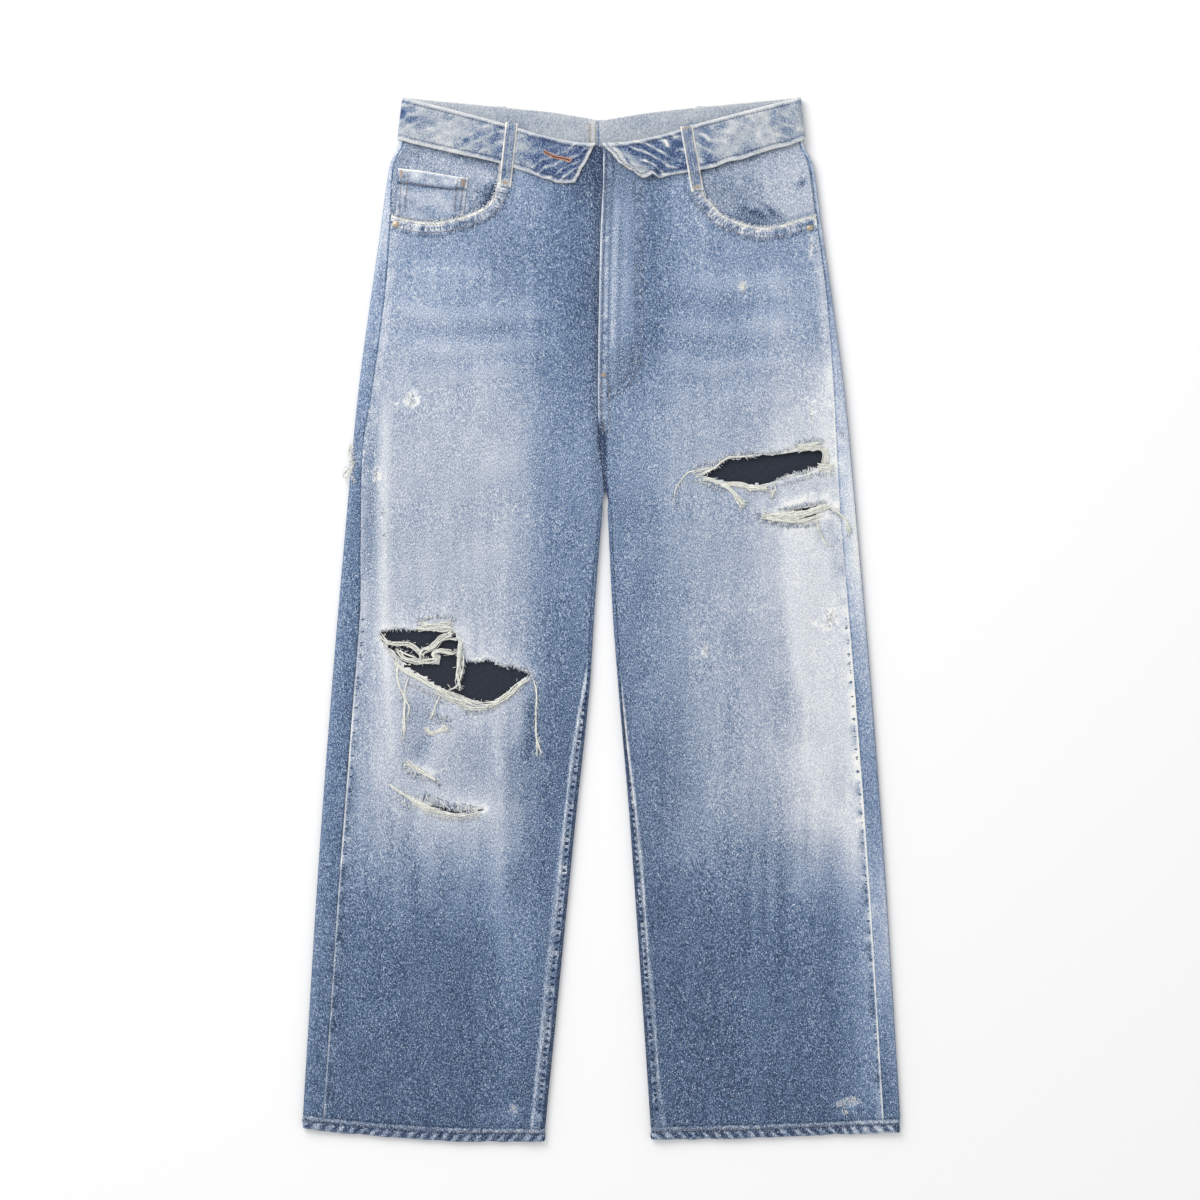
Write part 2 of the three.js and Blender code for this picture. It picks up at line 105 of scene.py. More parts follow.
def smooth(value, low, high):
    f = np.clip((np.asarray(value, float) - low) / (high - low), 0, 1)
    return f * f * (3 - 2 * f)


def bump(value, centre, width):
    return np.exp(-(((value - centre) / width) ** 2))


def lattice(ix, iy, seed):
    h = (ix * 374761393 + iy * 668265263 + seed * 974634777) & 0xFFFFFFFF
    h = ((h ^ (h >> 13)) * 1274126177) & 0xFFFFFFFF
    return (h ^ (h >> 16)) / 2.0**31 - 1


def noise(x, y, cell_x, cell_y, seed):
    """Smooth random hills from -1 to 1, one to a cell."""
    x, y = np.broadcast_arrays(np.asarray(x, float) / cell_x, np.asarray(y, float) / cell_y)
    ix, iy = np.floor(x).astype(np.int64), np.floor(y).astype(np.int64)
    fx, fy = smooth(x - ix, 0, 1), smooth(y - iy, 0, 1)
    low = lattice(ix, iy, seed) * (1 - fx) + lattice(ix + 1, iy, seed) * fx
    high = lattice(ix, iy + 1, seed) * (1 - fx) + lattice(ix + 1, iy + 1, seed) * fx
    return low * (1 - fy) + high * fy


def travelled(line):
    """Distance along a polyline at each of its points."""
    return np.concatenate([[0], np.cumsum(np.linalg.norm(np.diff(line, axis=0), axis=1))])


def directions(line):
    """Unit tangents of a polyline."""
    tangent = np.gradient(line, axis=0)
    return tangent / np.maximum(np.linalg.norm(tangent, axis=1), 1e-9)[:, None]


def distance_to_path(x, y, path):
    """Distance from points to a polyline, and how far along it (0 to 1) the nearest spot is."""
    path = np.asarray(path, float)
    lengths = np.linalg.norm(np.diff(path, axis=0), axis=1)
    starts = np.concatenate([[0], np.cumsum(lengths)])
    best = np.full(np.shape(x), np.inf)
    along = np.zeros(np.shape(x))
    for a, b, length, start in zip(path[:-1], path[1:], lengths, starts):
        d = (b - a) / length
        t = np.clip((x - a[0]) * d[0] + (y - a[1]) * d[1], 0, length)
        distance = np.hypot(x - a[0] - d[0] * t, y - a[1] - d[1] * t)
        along = np.where(distance < best, (start + t) / starts[-1], along)
        best = np.minimum(best, distance)
    return best, along


def inside(x, y, outline_points):
    """Whether points lie in a closed outline."""
    points = np.asarray(outline_points, float)
    hit = np.zeros(np.shape(x), bool)
    for (ax, ay), (bx, by) in zip(points, np.roll(points, -1, axis=0)):
        if ay != by:
            crosses = (ay > y) != (by > y)
            hit ^= crosses & (x < (bx - ax) * (y - ay) / (by - ay) + ax)
    return hit


def spline(points, step):
    """Even points along a smooth curve through given ones."""
    p = np.asarray(points, float)
    if len(p) == 2:
        dense = p[0] + np.linspace(0, 1, 40)[:, None] * (p[1] - p[0])
    else:
        q = np.vstack([2 * p[0] - p[1], p, 2 * p[-1] - p[-2]])
        t = np.linspace(0, 1, 24, endpoint=False)[:, None]
        runs = []
        for a, b, c, d in zip(q[:-3], q[1:-2], q[2:-1], q[3:]):
            squared = (2 * a - 5 * b + 4 * c - d) * t**2
            runs.append(0.5 * ((2 * b) + (c - a) * t + squared + (3 * b - a - 3 * c + d) * t**3))
        dense = np.vstack([*runs, p[-1:]])
    s = travelled(dense)
    even = np.linspace(0, s[-1], max(int(round(s[-1] / step)), 2) + 1)
    return np.stack([np.interp(even, s, dense[:, k]) for k in range(p.shape[1])], axis=1)


# ---------------------------------------------------------------- the pattern
outline = curve((0, 196.7), (24.5, 199.7), (49, 202.7), (60, 208.5), (72, 212.3), (132, 220.5), (212, 232),
                (300, 243.5), (450, 257.5), (590, 269.5), (770, 283), (930, 293), (LENGTH, 300))
side_seam = {
    RIGHT: curve((70, EDGE_WRAP), (150, 11), (200, 14), (290, 14), (350, 10.5), (452, 17), (522, 22),
                 (LENGTH, 20)),
    LEFT: curve((110, EDGE_WRAP), (200, 5.5), (280, 10), (360, 14), (430, 16), (LENGTH, 16.5)),
}
inner_edge = {
    RIGHT: curve((66, -1.2), (150, 1.8), (FLY_LENGTH, 4), (340, 2.6), (CROTCH, -3.4), (CURL_END, -1),
                 (512, 7), (592, 12), (732, 27), (LENGTH, 59)),
    LEFT: curve((66, 1.5), (150, -1.5), (FLY_LENGTH, -3.7), (340, -2.3), (CROTCH, 4.3), (CURL_END, 6),
                (512, 11), (592, 17), (732, 29), (LENGTH, 51)),
}
back_seam = curve((250, 0), (CROTCH, 3.8))
front_dip = curve((0, 46), (25, 45), (63, 37), (97, 26.5), (151, 12), (199, 0))
back_dip = curve((0, 23), (45, 15.5), (95, 10), (156, 4), (199, 0))
yoke_dip = curve((0, 28), (215, -16))
hem_tilt = {RIGHT: curve((59, 12), (150, 11), (240, 5), (300, -2)), LEFT: curve((51, 10), (150, 8), (300, 2))}


def level(out):
    return np.zeros(np.shape(out))


PANEL_TOP = 3.5
front_guides = {s: [(PANEL_TOP, front_dip), (130, level), (700, level), (HEM_DROP, hem_tilt[s])]
                for s in (RIGHT, LEFT)}
back_guides = {s: [(PANEL_TOP, back_dip), (YOKE_DROP, yoke_dip), (300, level), (700, level),
                   (HEM_DROP, hem_tilt[s])]
               for s in (RIGHT, LEFT)}


def guided(guides, station, out):
    """Drop of a point at a panel's station, whose cut ends follow guide curves."""
    shift = guides[0][1](out) + np.zeros(np.broadcast(station, out).shape)
    for (before, low), (after, high) in zip(guides[:-1], guides[1:]):
        f = (station - before) / (after - before)
        within = (f >= 0) & (f <= 1)
        shift = np.where(within, low(out) * (1 - f) + high(out) * f, shift)
    return station + shift


# Soft folds and bands as (path of (x, drop) points, width, height, change of dye and painted shading)
# On the whiskers that change is bleach; on the other folds it is painted shade in hollows and highlight on
# ridges
FOLDS = [
    # whiskers over the right hip
    ([(-200, 168), (-160, 174), (-100, 176)], 9, 0.5, -0.10),
    ([(-212, 214), (-150, 218), (-80, 214), (-20, 222)], 8, 0.9, -0.10),
    ([(-205, 250), (-140, 254), (-70, 246), (-20, 252)], 8, 1.0, -0.12),
    ([(-215, 232), (-150, 236), (-70, 231)], 7, -0.7, 0.07),
    ([(-205, 276), (-140, 278), (-60, 270)], 9, 0.8, -0.07),
    # whiskers over the left hip
    ([(60, 176), (120, 186), (205, 180)], 8, 0.7, -0.10),
    ([(45, 222), (120, 234), (210, 224)], 8, 1.0, -0.10),
    ([(50, 203), (120, 211), (205, 204)], 7, -0.7, 0.08),
    ([(40, 256), (110, 270), (205, 262)], 8, 0.9, -0.10),
    ([(35, 290), (100, 304), (180, 300)], 9, 0.7, -0.06),
    # the cloth hangs in hollows between creases below the right knee's rip: painted shade in the hollows,
    # painted highlight on the ridges
    ([(-184, 590), (-181, 632), (-188, 672)], 12, -1.0, 0.22),
    ([(-146, 618), (-158, 632), (-172, 648)], 4.5, 1.3, -0.10),
    ([(-130, 628), (-126, 668), (-132, 704)], 15, -0.7, 0.12),
    ([(-104, 606), (-105, 646), (-100, 690)], 5, 0.7, -0.12),
    ([(-70, 590), (-70, 630), (-76, 672)], 6.5, -0.9, 0.28),
    ([(-84, 640), (-86, 680), (-84, 716)], 11, -0.6, 0.16),
    # a long ridge down the right leg's outer side, with a painted highlight
    ([(-213, 236), (-216, 330), (-218, 430), (-217, 530), (-213, 600), (-211, 700)], 6.5, 0.9, -0.20),
    ([(-118, 745), (-116, 790), (-120, 840)], 6, 0.8, -0.16),
    ([(-180, 730), (-172, 770), (-176, 820)], 7, 0.8, -0.16),
    ([(-200, 745), (-206, 790), (-200, 850)], 6, 0.6, -0.10),
    # thighs and knees: painted highlight on the ridges, painted shade in the creases
    ([(203, 420), (199, 520), (203, 640)], 11, 1.4, -0.18),
    ([(-226, 300), (-228, 420), (-222, 530)], 9, 0.9, -0.05),
    ([(-144, 615), (-172, 638), (-187, 664)], 5, -1.2, 0.10),
    ([(-136, 622), (-160, 650), (-172, 690)], 7, 0.9, -0.05),
    ([(214, 430), (218, 442), (223, 452)], 4, -0.8, 0.06),
    ([(-100, 730), (-104, 790), (-98, 880)], 9, 0.8, -0.08),
    ([(-165, 730), (-170, 800), (-160, 860)], 10, 0.7, -0.05),
    ([(110, 640), (116, 700), (108, 760)], 12, 0.8, -0.05),
    ([(-60, 560), (-76, 700), (-84, 820)], 12, -0.7, 0.03),
    ([(-120, 860), (-128, 950), (-118, 1010)], 12, 0.7, -0.04),
    ([(150, 820), (160, 920), (150, 1000)], 14, 0.8, -0.04),
    ([(62, 470), (84, 640), (92, 780)], 13, -0.6, 0.03),
]


def relief(x, drop):
    """Height of the soft folds, and how they change the colour: bleach on the whiskers, painted shade and
    highlight on the other folds.
    """
    height, dye_and_shading = np.zeros(np.shape(x)), np.zeros(np.shape(x))
    # fade: bleach on the whiskers; painted shade in hollows and painted highlight on ridges elsewhere
    for path, width, rise, fade in FOLDS:
        distance, along = distance_to_path(x, drop, path)
        ends = smooth(along, 0, 0.25) * (1 - smooth(along, 0.75, 1))
        band = bump(distance, 0, width) * ends
        height, dye_and_shading = height + rise * band, dye_and_shading + fade * band
    height += 0.35 * noise(x, drop, 26, 70, 3) + 0.2 * noise(x, drop, 14, 22, 4)
    return height, dye_and_shading


def back_height(drop):
    return (LEG_BACK + (TORSO_BACK - LEG_BACK) * (1 - smooth(drop, 320, 380))
            + (WAIST_BACK - TORSO_BACK) * (1 - smooth(drop, 72, 122)))


def edge_height(drop):
    """Middle height of the front where it meets the fold at the side."""
    sunk = smooth(drop, 300, 560)
    return TORSO_FRONT + (LEG_FRONT_EDGE - TORSO_FRONT) * sunk


def front_middle(side, out, drop):
    """Middle height of the front, with its folds."""
    sunk = smooth(drop, 300, 560)
    from_inner = out - inner_edge[side](drop)
    from_side = outline(drop) - out
    free = smooth(drop, CROTCH - 70, CROTCH + 20)
    puff = np.maximum(1 - smooth(from_side, 6, 34), (1 - smooth(from_inner, 6, 34)) * free)
    height = TORSO_FRONT * (1 - sunk) + sunk * (LEG_FRONT + (LEG_FRONT_EDGE - LEG_FRONT) * puff)
    folds, _ = relief(side * out, drop)
    at_ends = np.maximum(smooth(from_inner, 4, 22), 1 - free)
    inland = smooth(from_side, 5, 26) * at_ends * smooth(drop, 60, 110)
    height = height + folds * inland * (1 - smooth(drop, HEM_DROP - 30, HEM_DROP))
    # the front rise sinks into the valley between the legs
    valley = smooth(drop, 318, CROTCH - 6) * (1 - smooth(drop, CROTCH + 4, CURL_END))
    height = height - 3.4 * valley * (1 - smooth(from_inner, 0, 9))
    if side == LEFT:
        on_fly = (1 - smooth(from_inner, 37, 43)) * (1 - smooth(drop, FLY_LENGTH - 16, FLY_LENGTH + 4))
        height = height + 0.8 * on_fly
    return height


def centre_x(drop):
    """x of the line where the two fronts meet."""
    return (inner_edge[LEFT](drop) - inner_edge[RIGHT](drop)) / 2


def on_front(x, drop):
    """Height of the fronts' outer face."""
    x, drop = np.broadcast_arrays(np.asarray(x, float), np.asarray(drop, float))
    return np.where(x > centre_x(drop), front_surface(LEFT, x, drop), front_surface(RIGHT, -x, drop))


# ---------------------------------------------------------------- dye of the cloth, with painted shading (0 white, 1 full blue)
FADE_DOWN = curve((0, 0.2), (180, 0.22), (240, 0.45), (300, 0.85), (380, 1), (690, 1), (735, 0.86),
                  (770, 0.5), (800, 0.2), (850, 0.03), (LENGTH, 0))
FADE_ACROSS = {
    RIGHT: curve((10, 0.1), (50, 0.18), (80, 0.75), (108, 1.0), (215, 1.0), (240, 0.7), (262, 0.45)),
    LEFT: curve((10, 0.15), (45, 0.3), (85, 0.7), (125, 0.78), (165, 0.95), (200, 1.15), (240, 1.1)),
}
BLUE_DOWN = curve((0, 0.62), (110, 0.64), (200, 0.66), (300, 0.74), (420, 0.81), (600, 0.89), (760, 0.95),
                  (900, 1.04), (LENGTH, 1.09))
PALE = 0.37

# Softly paler and bluer areas of the fronts: centre (x, drop), half width, half height, change of dye
SHADES = [
    (-165, 400, 45, 60, 0.10), (-110, 470, 40, 60, 0.05), (-175, 490, 35, 40, 0.05),
    (-165, 205, 40, 26, -0.05), (-41, 355, 26, 40, -0.06), (-41, 462, 24, 60, -0.07),
    (-36, 765, 16, 60, -0.10), (-131, 662, 34, 34, 0.06), (-172, 760, 36, 34, 0.12),
    (-81, 852, 30, 70, -0.22), (16, 170, 9, 60, 0.08), (38, 355, 24, 50, -0.10), (48, 552, 24, 60, -0.08),
    (118, 246, 30, 20, 0.06), (180, 205, 30, 34, -0.15), (196, 602, 30, 50, 0.21),
    (170, 702, 60, 30, 0.09), (236, 662, 26, 50, 0.13), (198, 752, 40, 26, 0.2), (110, 752, 40, 34, 0.06),
    (76, 806, 40, 34, 0.09), (198, 905, 50, 60, -0.10), (266, 862, 20, 80, -0.22),
    (268, 965, 18, 50, -0.12), (238, 462, 22, 44, 0.22), (202, 388, 38, 12, 0.22),
    (226, 430, 12, 16, 0.18), (-232, 405, 8, 85, 0.32), (-225.5, 377, 4, 8, -0.42),
    (-252, 900, 22, 90, -0.08),
]


def shading(x, drop):
    change = np.zeros(np.shape(x))
    for cx, cy, half_width, half_height, amount in SHADES:
        change = change + amount * np.exp(-(((x - cx) / half_width) ** 2) - ((drop - cy) / half_height) ** 2)
    return change


def front_dye_and_shading(side, x, drop):
    out = side * x
    streaks = noise(x, drop, 6, 90, 21)
    ragged = drop + 14 * noise(x, 0 * drop, 17, 1, 22) + 9 * streaks
    fade = FADE_DOWN(ragged) * FADE_ACROSS[side](out - 0.02 * (drop - 400))
    blue = BLUE_DOWN(drop)
    dye_and_shading = blue + (PALE - blue) * fade
    # folds: whisker bleach, with painted shade and highlight along the other folds
    _, folds = relief(x, drop)
    dye_and_shading = dye_and_shading + folds + shading(x, drop) + 0.05 * noise(x, drop, 22, 30, 23)
    dye_and_shading = dye_and_shading + 0.045 * streaks + 0.035 * noise(x, drop, 3.5, 26, 24)
    torso = 1 - smooth(drop, 210, 330)
    inner = out - inner_edge[side](drop)
    if side == RIGHT:
        dye_and_shading = dye_and_shading + 0.26 * bump(out, 22, 34) * torso + 0.1 * bump(inner, 28, 20) * smooth(drop, 500, 620)
        dye_and_shading = dye_and_shading + 0.14 * bump(out, 140, 26) * bump(drop, 118, 26)
        dye_and_shading = dye_and_shading + 0.12 * bump(out, 90, 26) * bump(drop, 160, 40)
        dye_and_shading = dye_and_shading - 0.16 * bump(inner, 36, 22) * smooth(drop, 790, 850)
        dye_and_shading = dye_and_shading - 0.1 * smooth(out, 110, 200) * bump(drop, 210, 60)
    else:
        dye_and_shading = dye_and_shading + 0.24 * bump(out, 52, 16) * torso - 0.08 * bump(out, 15, 12) * torso
        dye_and_shading = dye_and_shading - 0.20 * smooth(out, 150, 235) * smooth(drop, 190, 330) * (1 - smooth(drop, 720, 860))
        down_thigh = smooth(drop, 330, 420) * (1 - smooth(drop, 600, 740))
        dye_and_shading = dye_and_shading - 0.10 * bump(out - 0.08 * (drop - 500), 212, 26) * down_thigh
        dye_and_shading = dye_and_shading - 0.20 * smooth(out, 215, 270) * smooth(drop, 700, 800)
        dye_and_shading = dye_and_shading + 0.16 * bump(inner, 50, 30) * bump(drop, 680, 90)
    # drips of bleach below the knee
    drips = np.clip(noise(x, 0 * drop, 9, 1, 25), 0, 1) * bump(drop, 790, 50) * bump(out, 150, 60)
    return np.maximum(dye_and_shading - 0.22 * drips, 0.16)


def back_dye(side, x, drop):
    out = side * x
    seat = bump(out, 120, 70) * bump(drop, 220, 90)
    dye_and_shading = BLUE_DOWN(drop) + 0.05 - 0.28 * seat - 0.18 * bump(out, 150, 60) * bump(drop, 600, 130)
    return dye_and_shading + 0.03 * noise(x, drop, 22, 30, 33) + 0.03 * noise(x, drop, 6, 90, 31)


# ---------------------------------------------------------------- meshes
def to_world(points):
    """(x, drop, z) in mm to metres in the frame."""
    points = np.asarray(points, float)
    return np.stack([points[..., 0], TOP_Y - points[..., 1], points[..., 2]], axis=-1) * MM


def normals_of(verts, faces):
    a, b, c, d = (verts[faces[:, k]] for k in range(4))
    face_normals = np.cross(c - a, d - b)
    normals = np.zeros_like(verts)
    for k in range(4):
        np.add.at(normals, faces[:, k], face_normals)
    return normals / np.maximum(np.linalg.norm(normals, axis=1), 1e-12)[:, None]


def grid_faces(rows, columns, closed=False):
    r = np.arange(rows - 1)[:, None]
    c = np.arange(columns if closed else columns - 1)[None, :]
    nxt = (c + 1) % columns
    a, b = r * columns + c, r * columns + nxt
    return np.stack([a, b, b + columns, a + columns], axis=-1).reshape(-1, 4)


def thicken(verts, faces, thickness):
    """A closed shell: the sheet, the same sheet moved inwards, and a rim."""
    normals = normals_of(verts, faces)
    count = len(verts)
    edges = np.concatenate([faces[:, [0, 1]], faces[:, [1, 2]], faces[:, [2, 3]], faces[:, [3, 0]]])
    keys = np.sort(edges, axis=1)
    keys = keys[:, 0].astype(np.int64) * count + keys[:, 1]
    _, first, uses = np.unique(keys, return_index=True, return_counts=True)
    open_edges = edges[first[uses == 1]]
    a, b = open_edges[:, 0], open_edges[:, 1]
    rim = np.stack([b, a, a + count, b + count], axis=1)
    both = np.concatenate([verts, verts - normals * thickness * MM])
    return both, np.concatenate([faces, faces[:, ::-1] + count, rim]), len(faces)


def make(name, verts, faces, materials, dye_and_shading=None, second_from=None, blueness=None):
    mesh = bpy.data.meshes.new(name)
    mesh.from_pydata(verts.tolist(), [], faces if isinstance(faces, list) else faces.tolist())
    for material in materials:
        mesh.materials.append(material)
    if second_from is not None:
        index = np.zeros(len(mesh.polygons), np.int32)
        index[second_from[0]:second_from[1]] = 1
        mesh.polygons.foreach_set("material_index", index)
    for label, values in (("dye_and_shading", dye_and_shading), ("blueness", blueness)):
        if values is not None:
            layer = mesh.attributes.new(label, "FLOAT", "POINT")
            layer.data.foreach_set("value", np.asarray(values, np.float32).ravel())
    mesh.polygons.foreach_set("use_smooth", np.full(len(mesh.polygons), True))
    mesh.update()
    piece = bpy.data.objects.new(name, mesh)
    bpy.context.scene.collection.objects.link(piece)
    return piece


def finish_piece(piece, slot, *nodes):
    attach(piece, "root")
    if nodes:
        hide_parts(*nodes)
    return piece


def cloth(name, points, dye_and_shading, thickness, materials, up=True, inside_dye=None, toward=None, blue=0.0):
    """A shell of cloth from a grid of (x, drop, z) points on its outer face. materials: outside, inside."""
    rows, columns = points.shape[:2]
    verts = to_world(points.reshape(-1, 3))
    faces = grid_faces(rows, columns)
    facing = np.array(toward if toward is not None else (0, 0, 1 if up else -1))
    if (normals_of(verts, faces) @ facing).sum() < 0:
        faces = faces[:, ::-1]
    dye_and_shading = np.asarray(dye_and_shading, float).ravel()
    inner = dye_and_shading if inside_dye is None else np.broadcast_to(inside_dye, points.shape[:2]).ravel()
    both, all_faces, count = thicken(verts, faces, thickness)
    blueness = np.concatenate([np.full(len(verts), blue), np.zeros(len(verts))])
    return make(name, both, all_faces, materials, np.concatenate([dye_and_shading, inner]), (count, 2 * count), blueness)


# ---------------------------------------------------------------- materials
def srgb(code):
    """A colour written as six hex digits, as linear RGBA."""
    parts = [int(code[i:i + 2], 16) / 255 for i in (0, 2, 4)]
    return (*[p / 12.92 if p <= 0.04045 else ((p + 0.055) / 1.055) ** 2.4 for p in parts], 1)


def node(tree, kind, **inputs):
    made = tree.nodes.new(kind)
    for key, value in inputs.items():
        numbered = key[0] == "_" and key[1:].isdigit()
        socket = made.inputs[int(key[1:]) if numbered else key.replace("_", " ")]
        if isinstance(value, bpy.types.NodeSocket):
            tree.links.new(value, socket)
        else:
            socket.default_value = value
    return made


def maths(tree, operation, a, b, clamp=False):
    made = node(tree, "ShaderNodeMath", _0=a, _1=b)
    made.operation = operation
    made.use_clamp = clamp
    return made.outputs[0]


def scaled_noise(tree, coordinates, scale, detail, roughness=0.6, turn=0.0):
    turned = node(tree, "ShaderNodeMapping", Vector=coordinates, Rotation=(0, 0, turn)).outputs[0]
    mapping = node(tree, "ShaderNodeMapping", Vector=turned, Location=(0.31, 0.43, 0.37), Scale=scale)
    return node(tree, "ShaderNodeTexNoise", Vector=mapping.outputs[0], Scale=1.0, Detail=detail,
                Roughness=roughness).outputs["Fac"]


def new_material(name):
    material = bpy.data.materials.new(name)
    material.use_nodes = True
    tree = material.node_tree
    tree.nodes.clear()
    shader = tree.nodes.new("ShaderNodeBsdfPrincipled")
    output = tree.nodes.new("ShaderNodeOutputMaterial")
    tree.links.new(shader.outputs[0], output.inputs[0])
    return material, tree, shader


# Washed denim from pure white cotton to full indigo.
DENIM_RAMP = [(0.0, "f3f2ec"), (0.12, "d5dbe4"), (0.25, "bfc4d1"), (0.38, "a9b1c2"), (0.5, "96a1b8"),
              (0.62, "8291ac"), (0.75, "6f819e"), (0.87, "5f718d"), (1.0, "51637f"), (1.2, "3a4b6c"),
              (1.5, "222e50")]
INSIDE_RAMP = [(0.0, "ebe9e2"), (0.15, "cfd1d4"), (0.35, "b4b9c0"), (0.6, "929cac"), (0.85, "677a9b"),
               (1.1, "3f5382"), (1.5, "222f5c")]
RAMP_TOP = 1.5


def colour_ramp(tree, factor, stops):
    ramp = node(tree, "ShaderNodeValToRGB", Fac=maths(tree, "DIVIDE", factor, RAMP_TOP, True))
    elements = ramp.color_ramp.elements
    while len(elements) < len(stops):
        elements.new(0.5)
    for element, (position, code) in zip(elements, stops):
        element.position = position / RAMP_TOP
        element.color = srgb(code)
    return ramp.outputs[0]


def denim(name, stops, grain=1.0, twill=1.0, vivid=1.0):
    """Twill whose dye and painted shading come from the mesh, with slubs, twill lines and cotton flecks."""
    material, tree, shader = new_material(name)
    place = node(tree, "ShaderNodeTexCoord").outputs["Object"]
    dye_and_shading = tree.nodes.new("ShaderNodeAttribute")
    dye_and_shading.attribute_name = "dye_and_shading"
    slubs = scaled_noise(tree, place, (1150, 560, 650), 1.5, 0.6, math.radians(-20))
    flecks = scaled_noise(tree, place, (1400, 1250, 1250), 1.0, 0.6)
    clouds = scaled_noise(tree, place, (95, 60, 80), 3.0, 0.55)
    turned = node(tree, "ShaderNodeMapping", Vector=place, Rotation=(0, 0, math.radians(-32)))
    wave = tree.nodes.new("ShaderNodeTexWave")
    tree.links.new(turned.outputs[0], wave.inputs["Vector"])
    wave.inputs["Scale"].default_value = 230
    wave.inputs["Distortion"].default_value = 1.4
    wave.inputs["Detail"].default_value = 1.0
    weave = maths(tree, "ADD", maths(tree, "MULTIPLY", maths(tree, "SUBTRACT", slubs, 0.5), 1.55),
                  maths(tree, "MULTIPLY", maths(tree, "SUBTRACT", flecks, 0.5), 1.5))
    lines = maths(tree, "SUBTRACT", wave.outputs["Fac"], 0.5)
    weave = maths(tree, "ADD", weave, maths(tree, "MULTIPLY", lines, 0.10 * twill))
    strength = maths(tree, "MULTIPLY_ADD", dye_and_shading.outputs["Fac"], 1.6 * grain)
    strength.node.inputs[2].default_value = 0.22 * grain
    total = maths(tree, "ADD", dye_and_shading.outputs["Fac"], maths(tree, "MULTIPLY", weave, strength))
    total = maths(tree, "ADD", total, maths(tree, "MULTIPLY", maths(tree, "SUBTRACT", clouds, 0.5), 0.07))
    blueness = tree.nodes.new("ShaderNodeAttribute")
    blueness.attribute_name = "blueness"
    paleness = maths(tree, "MULTIPLY", maths(tree, "SUBTRACT", 1.25, total), 0.5)
    saturation = maths(tree, "MULTIPLY_ADD", blueness.outputs["Fac"], paleness)
    saturation.node.inputs[2].default_value = vivid
    ramp = colour_ramp(tree, total, stops)
    colour = node(tree, "ShaderNodeHueSaturation", Hue=0.494, Saturation=saturation, Color=ramp)
    tree.links.new(colour.outputs[0], shader.inputs["Base Color"])
    shader.inputs["Roughness"].default_value = 0.92
    shader.inputs["Specular IOR Level"].default_value = 0.15
    height = maths(tree, "ADD", weave, maths(tree, "MULTIPLY", wave.outputs["Fac"], 0.35 * twill))
    relief_node = node(tree, "ShaderNodeBump", Strength=0.5, Distance=0.0005, Height=height)
    tree.links.new(relief_node.outputs[0], shader.inputs["Normal"])
    return material


def plain_weave(name, low, high, scale=900, roughness=0.9):
    """Two-tone woven cotton."""
    material, tree, shader = new_material(name)
    place = node(tree, "ShaderNodeTexCoord").outputs["Object"]
    warp = scaled_noise(tree, place, (scale * 2, scale * 0.35, scale), 1.5)
    weft = scaled_noise(tree, place, (scale * 0.35, scale * 2, scale), 1.5)
    mix = node(tree, "ShaderNodeMix")
    mix.data_type = "RGBA"
    both = maths(tree, "MULTIPLY_ADD", maths(tree, "ADD", warp, weft), 1.6)
    both.node.inputs[2].default_value = -1.1
    both.node.use_clamp = True
    tree.links.new(both, mix.inputs[0])
    mix.inputs[6].default_value, mix.inputs[7].default_value = srgb(low), srgb(high)
    tree.links.new(mix.outputs[2], shader.inputs["Base Color"])
    shader.inputs["Roughness"].default_value = roughness
    shader.inputs["Specular IOR Level"].default_value = 0.2
    tree.links.new(node(tree, "ShaderNodeBump", Strength=0.4, Distance=0.0003, Height=both).outputs[0],
                   shader.inputs["Normal"])
    return material


def metal(name, low, high, roughness):
    material, tree, shader = new_material(name)
    place = node(tree, "ShaderNodeTexCoord").outputs["Object"]
    tarnish = scaled_noise(tree, place, (600, 600, 600), 3.0)
    mix = node(tree, "ShaderNodeMix")
    mix.data_type = "RGBA"
    tree.links.new(tarnish, mix.inputs[0])
    mix.inputs[6].default_value, mix.inputs[7].default_value = srgb(low), srgb(high)
    tree.links.new(mix.outputs[2], shader.inputs["Base Color"])
    shader.inputs["Metallic"].default_value = 1.0
    shader.inputs["Roughness"].default_value = roughness
    tree.links.new(node(tree, "ShaderNodeBump", Strength=0.3, Distance=0.0002, Height=tarnish).outputs[0],
                   shader.inputs["Normal"])
    return material


DENIM = denim("denim", DENIM_RAMP, vivid=0.94)
DENIM_BACK = denim("denim_wrong_side", INSIDE_RAMP, grain=0.7, twill=0.6, vivid=0.9)
BAND_CLOTH = denim("waistband_denim", INSIDE_RAMP, grain=0.8)
SEAM_DENIM = denim("seam_denim", DENIM_RAMP, grain=0.8)
# dark cloth behind the rips, also used as painted shade in the buttonhole's slit
BACKING_AND_SLIT_SHADE = plain_weave("dark_backing_and_slit_shade", "262a33", "343945", 700)
POCKETING = plain_weave("pocketing", "d9d5c8", "eeebe2")
ZIP_TAPE = plain_weave("zip_tape", "33435f", "4a5d80", 1100)
COTTON = plain_weave("white_cotton", "cdcec2", "f9f9f3", 620, 0.95)
FRAY_AND_PUCKER_SHADE = denim("fray_and_pucker_shade", DENIM_RAMP, grain=0.25, twill=0.0)
THREAD = plain_weave("grey_thread", "5c6274", "8b8680", 2500)
UMBER = plain_weave("umber_thread", "45424e", "7a6e66", 2500)
OCHRE = plain_weave("ochre_thread", "81726a", "a8978a", 2500)
BARTACK = plain_weave("bartack_thread", "a58c76", "d3c2ac", 2500)
ORANGE = plain_weave("orange_thread", "cc8560", "ecbd9f", 2500)
BRASS = metal("aged_brass", "a39379", "d6cab5", 0.5)


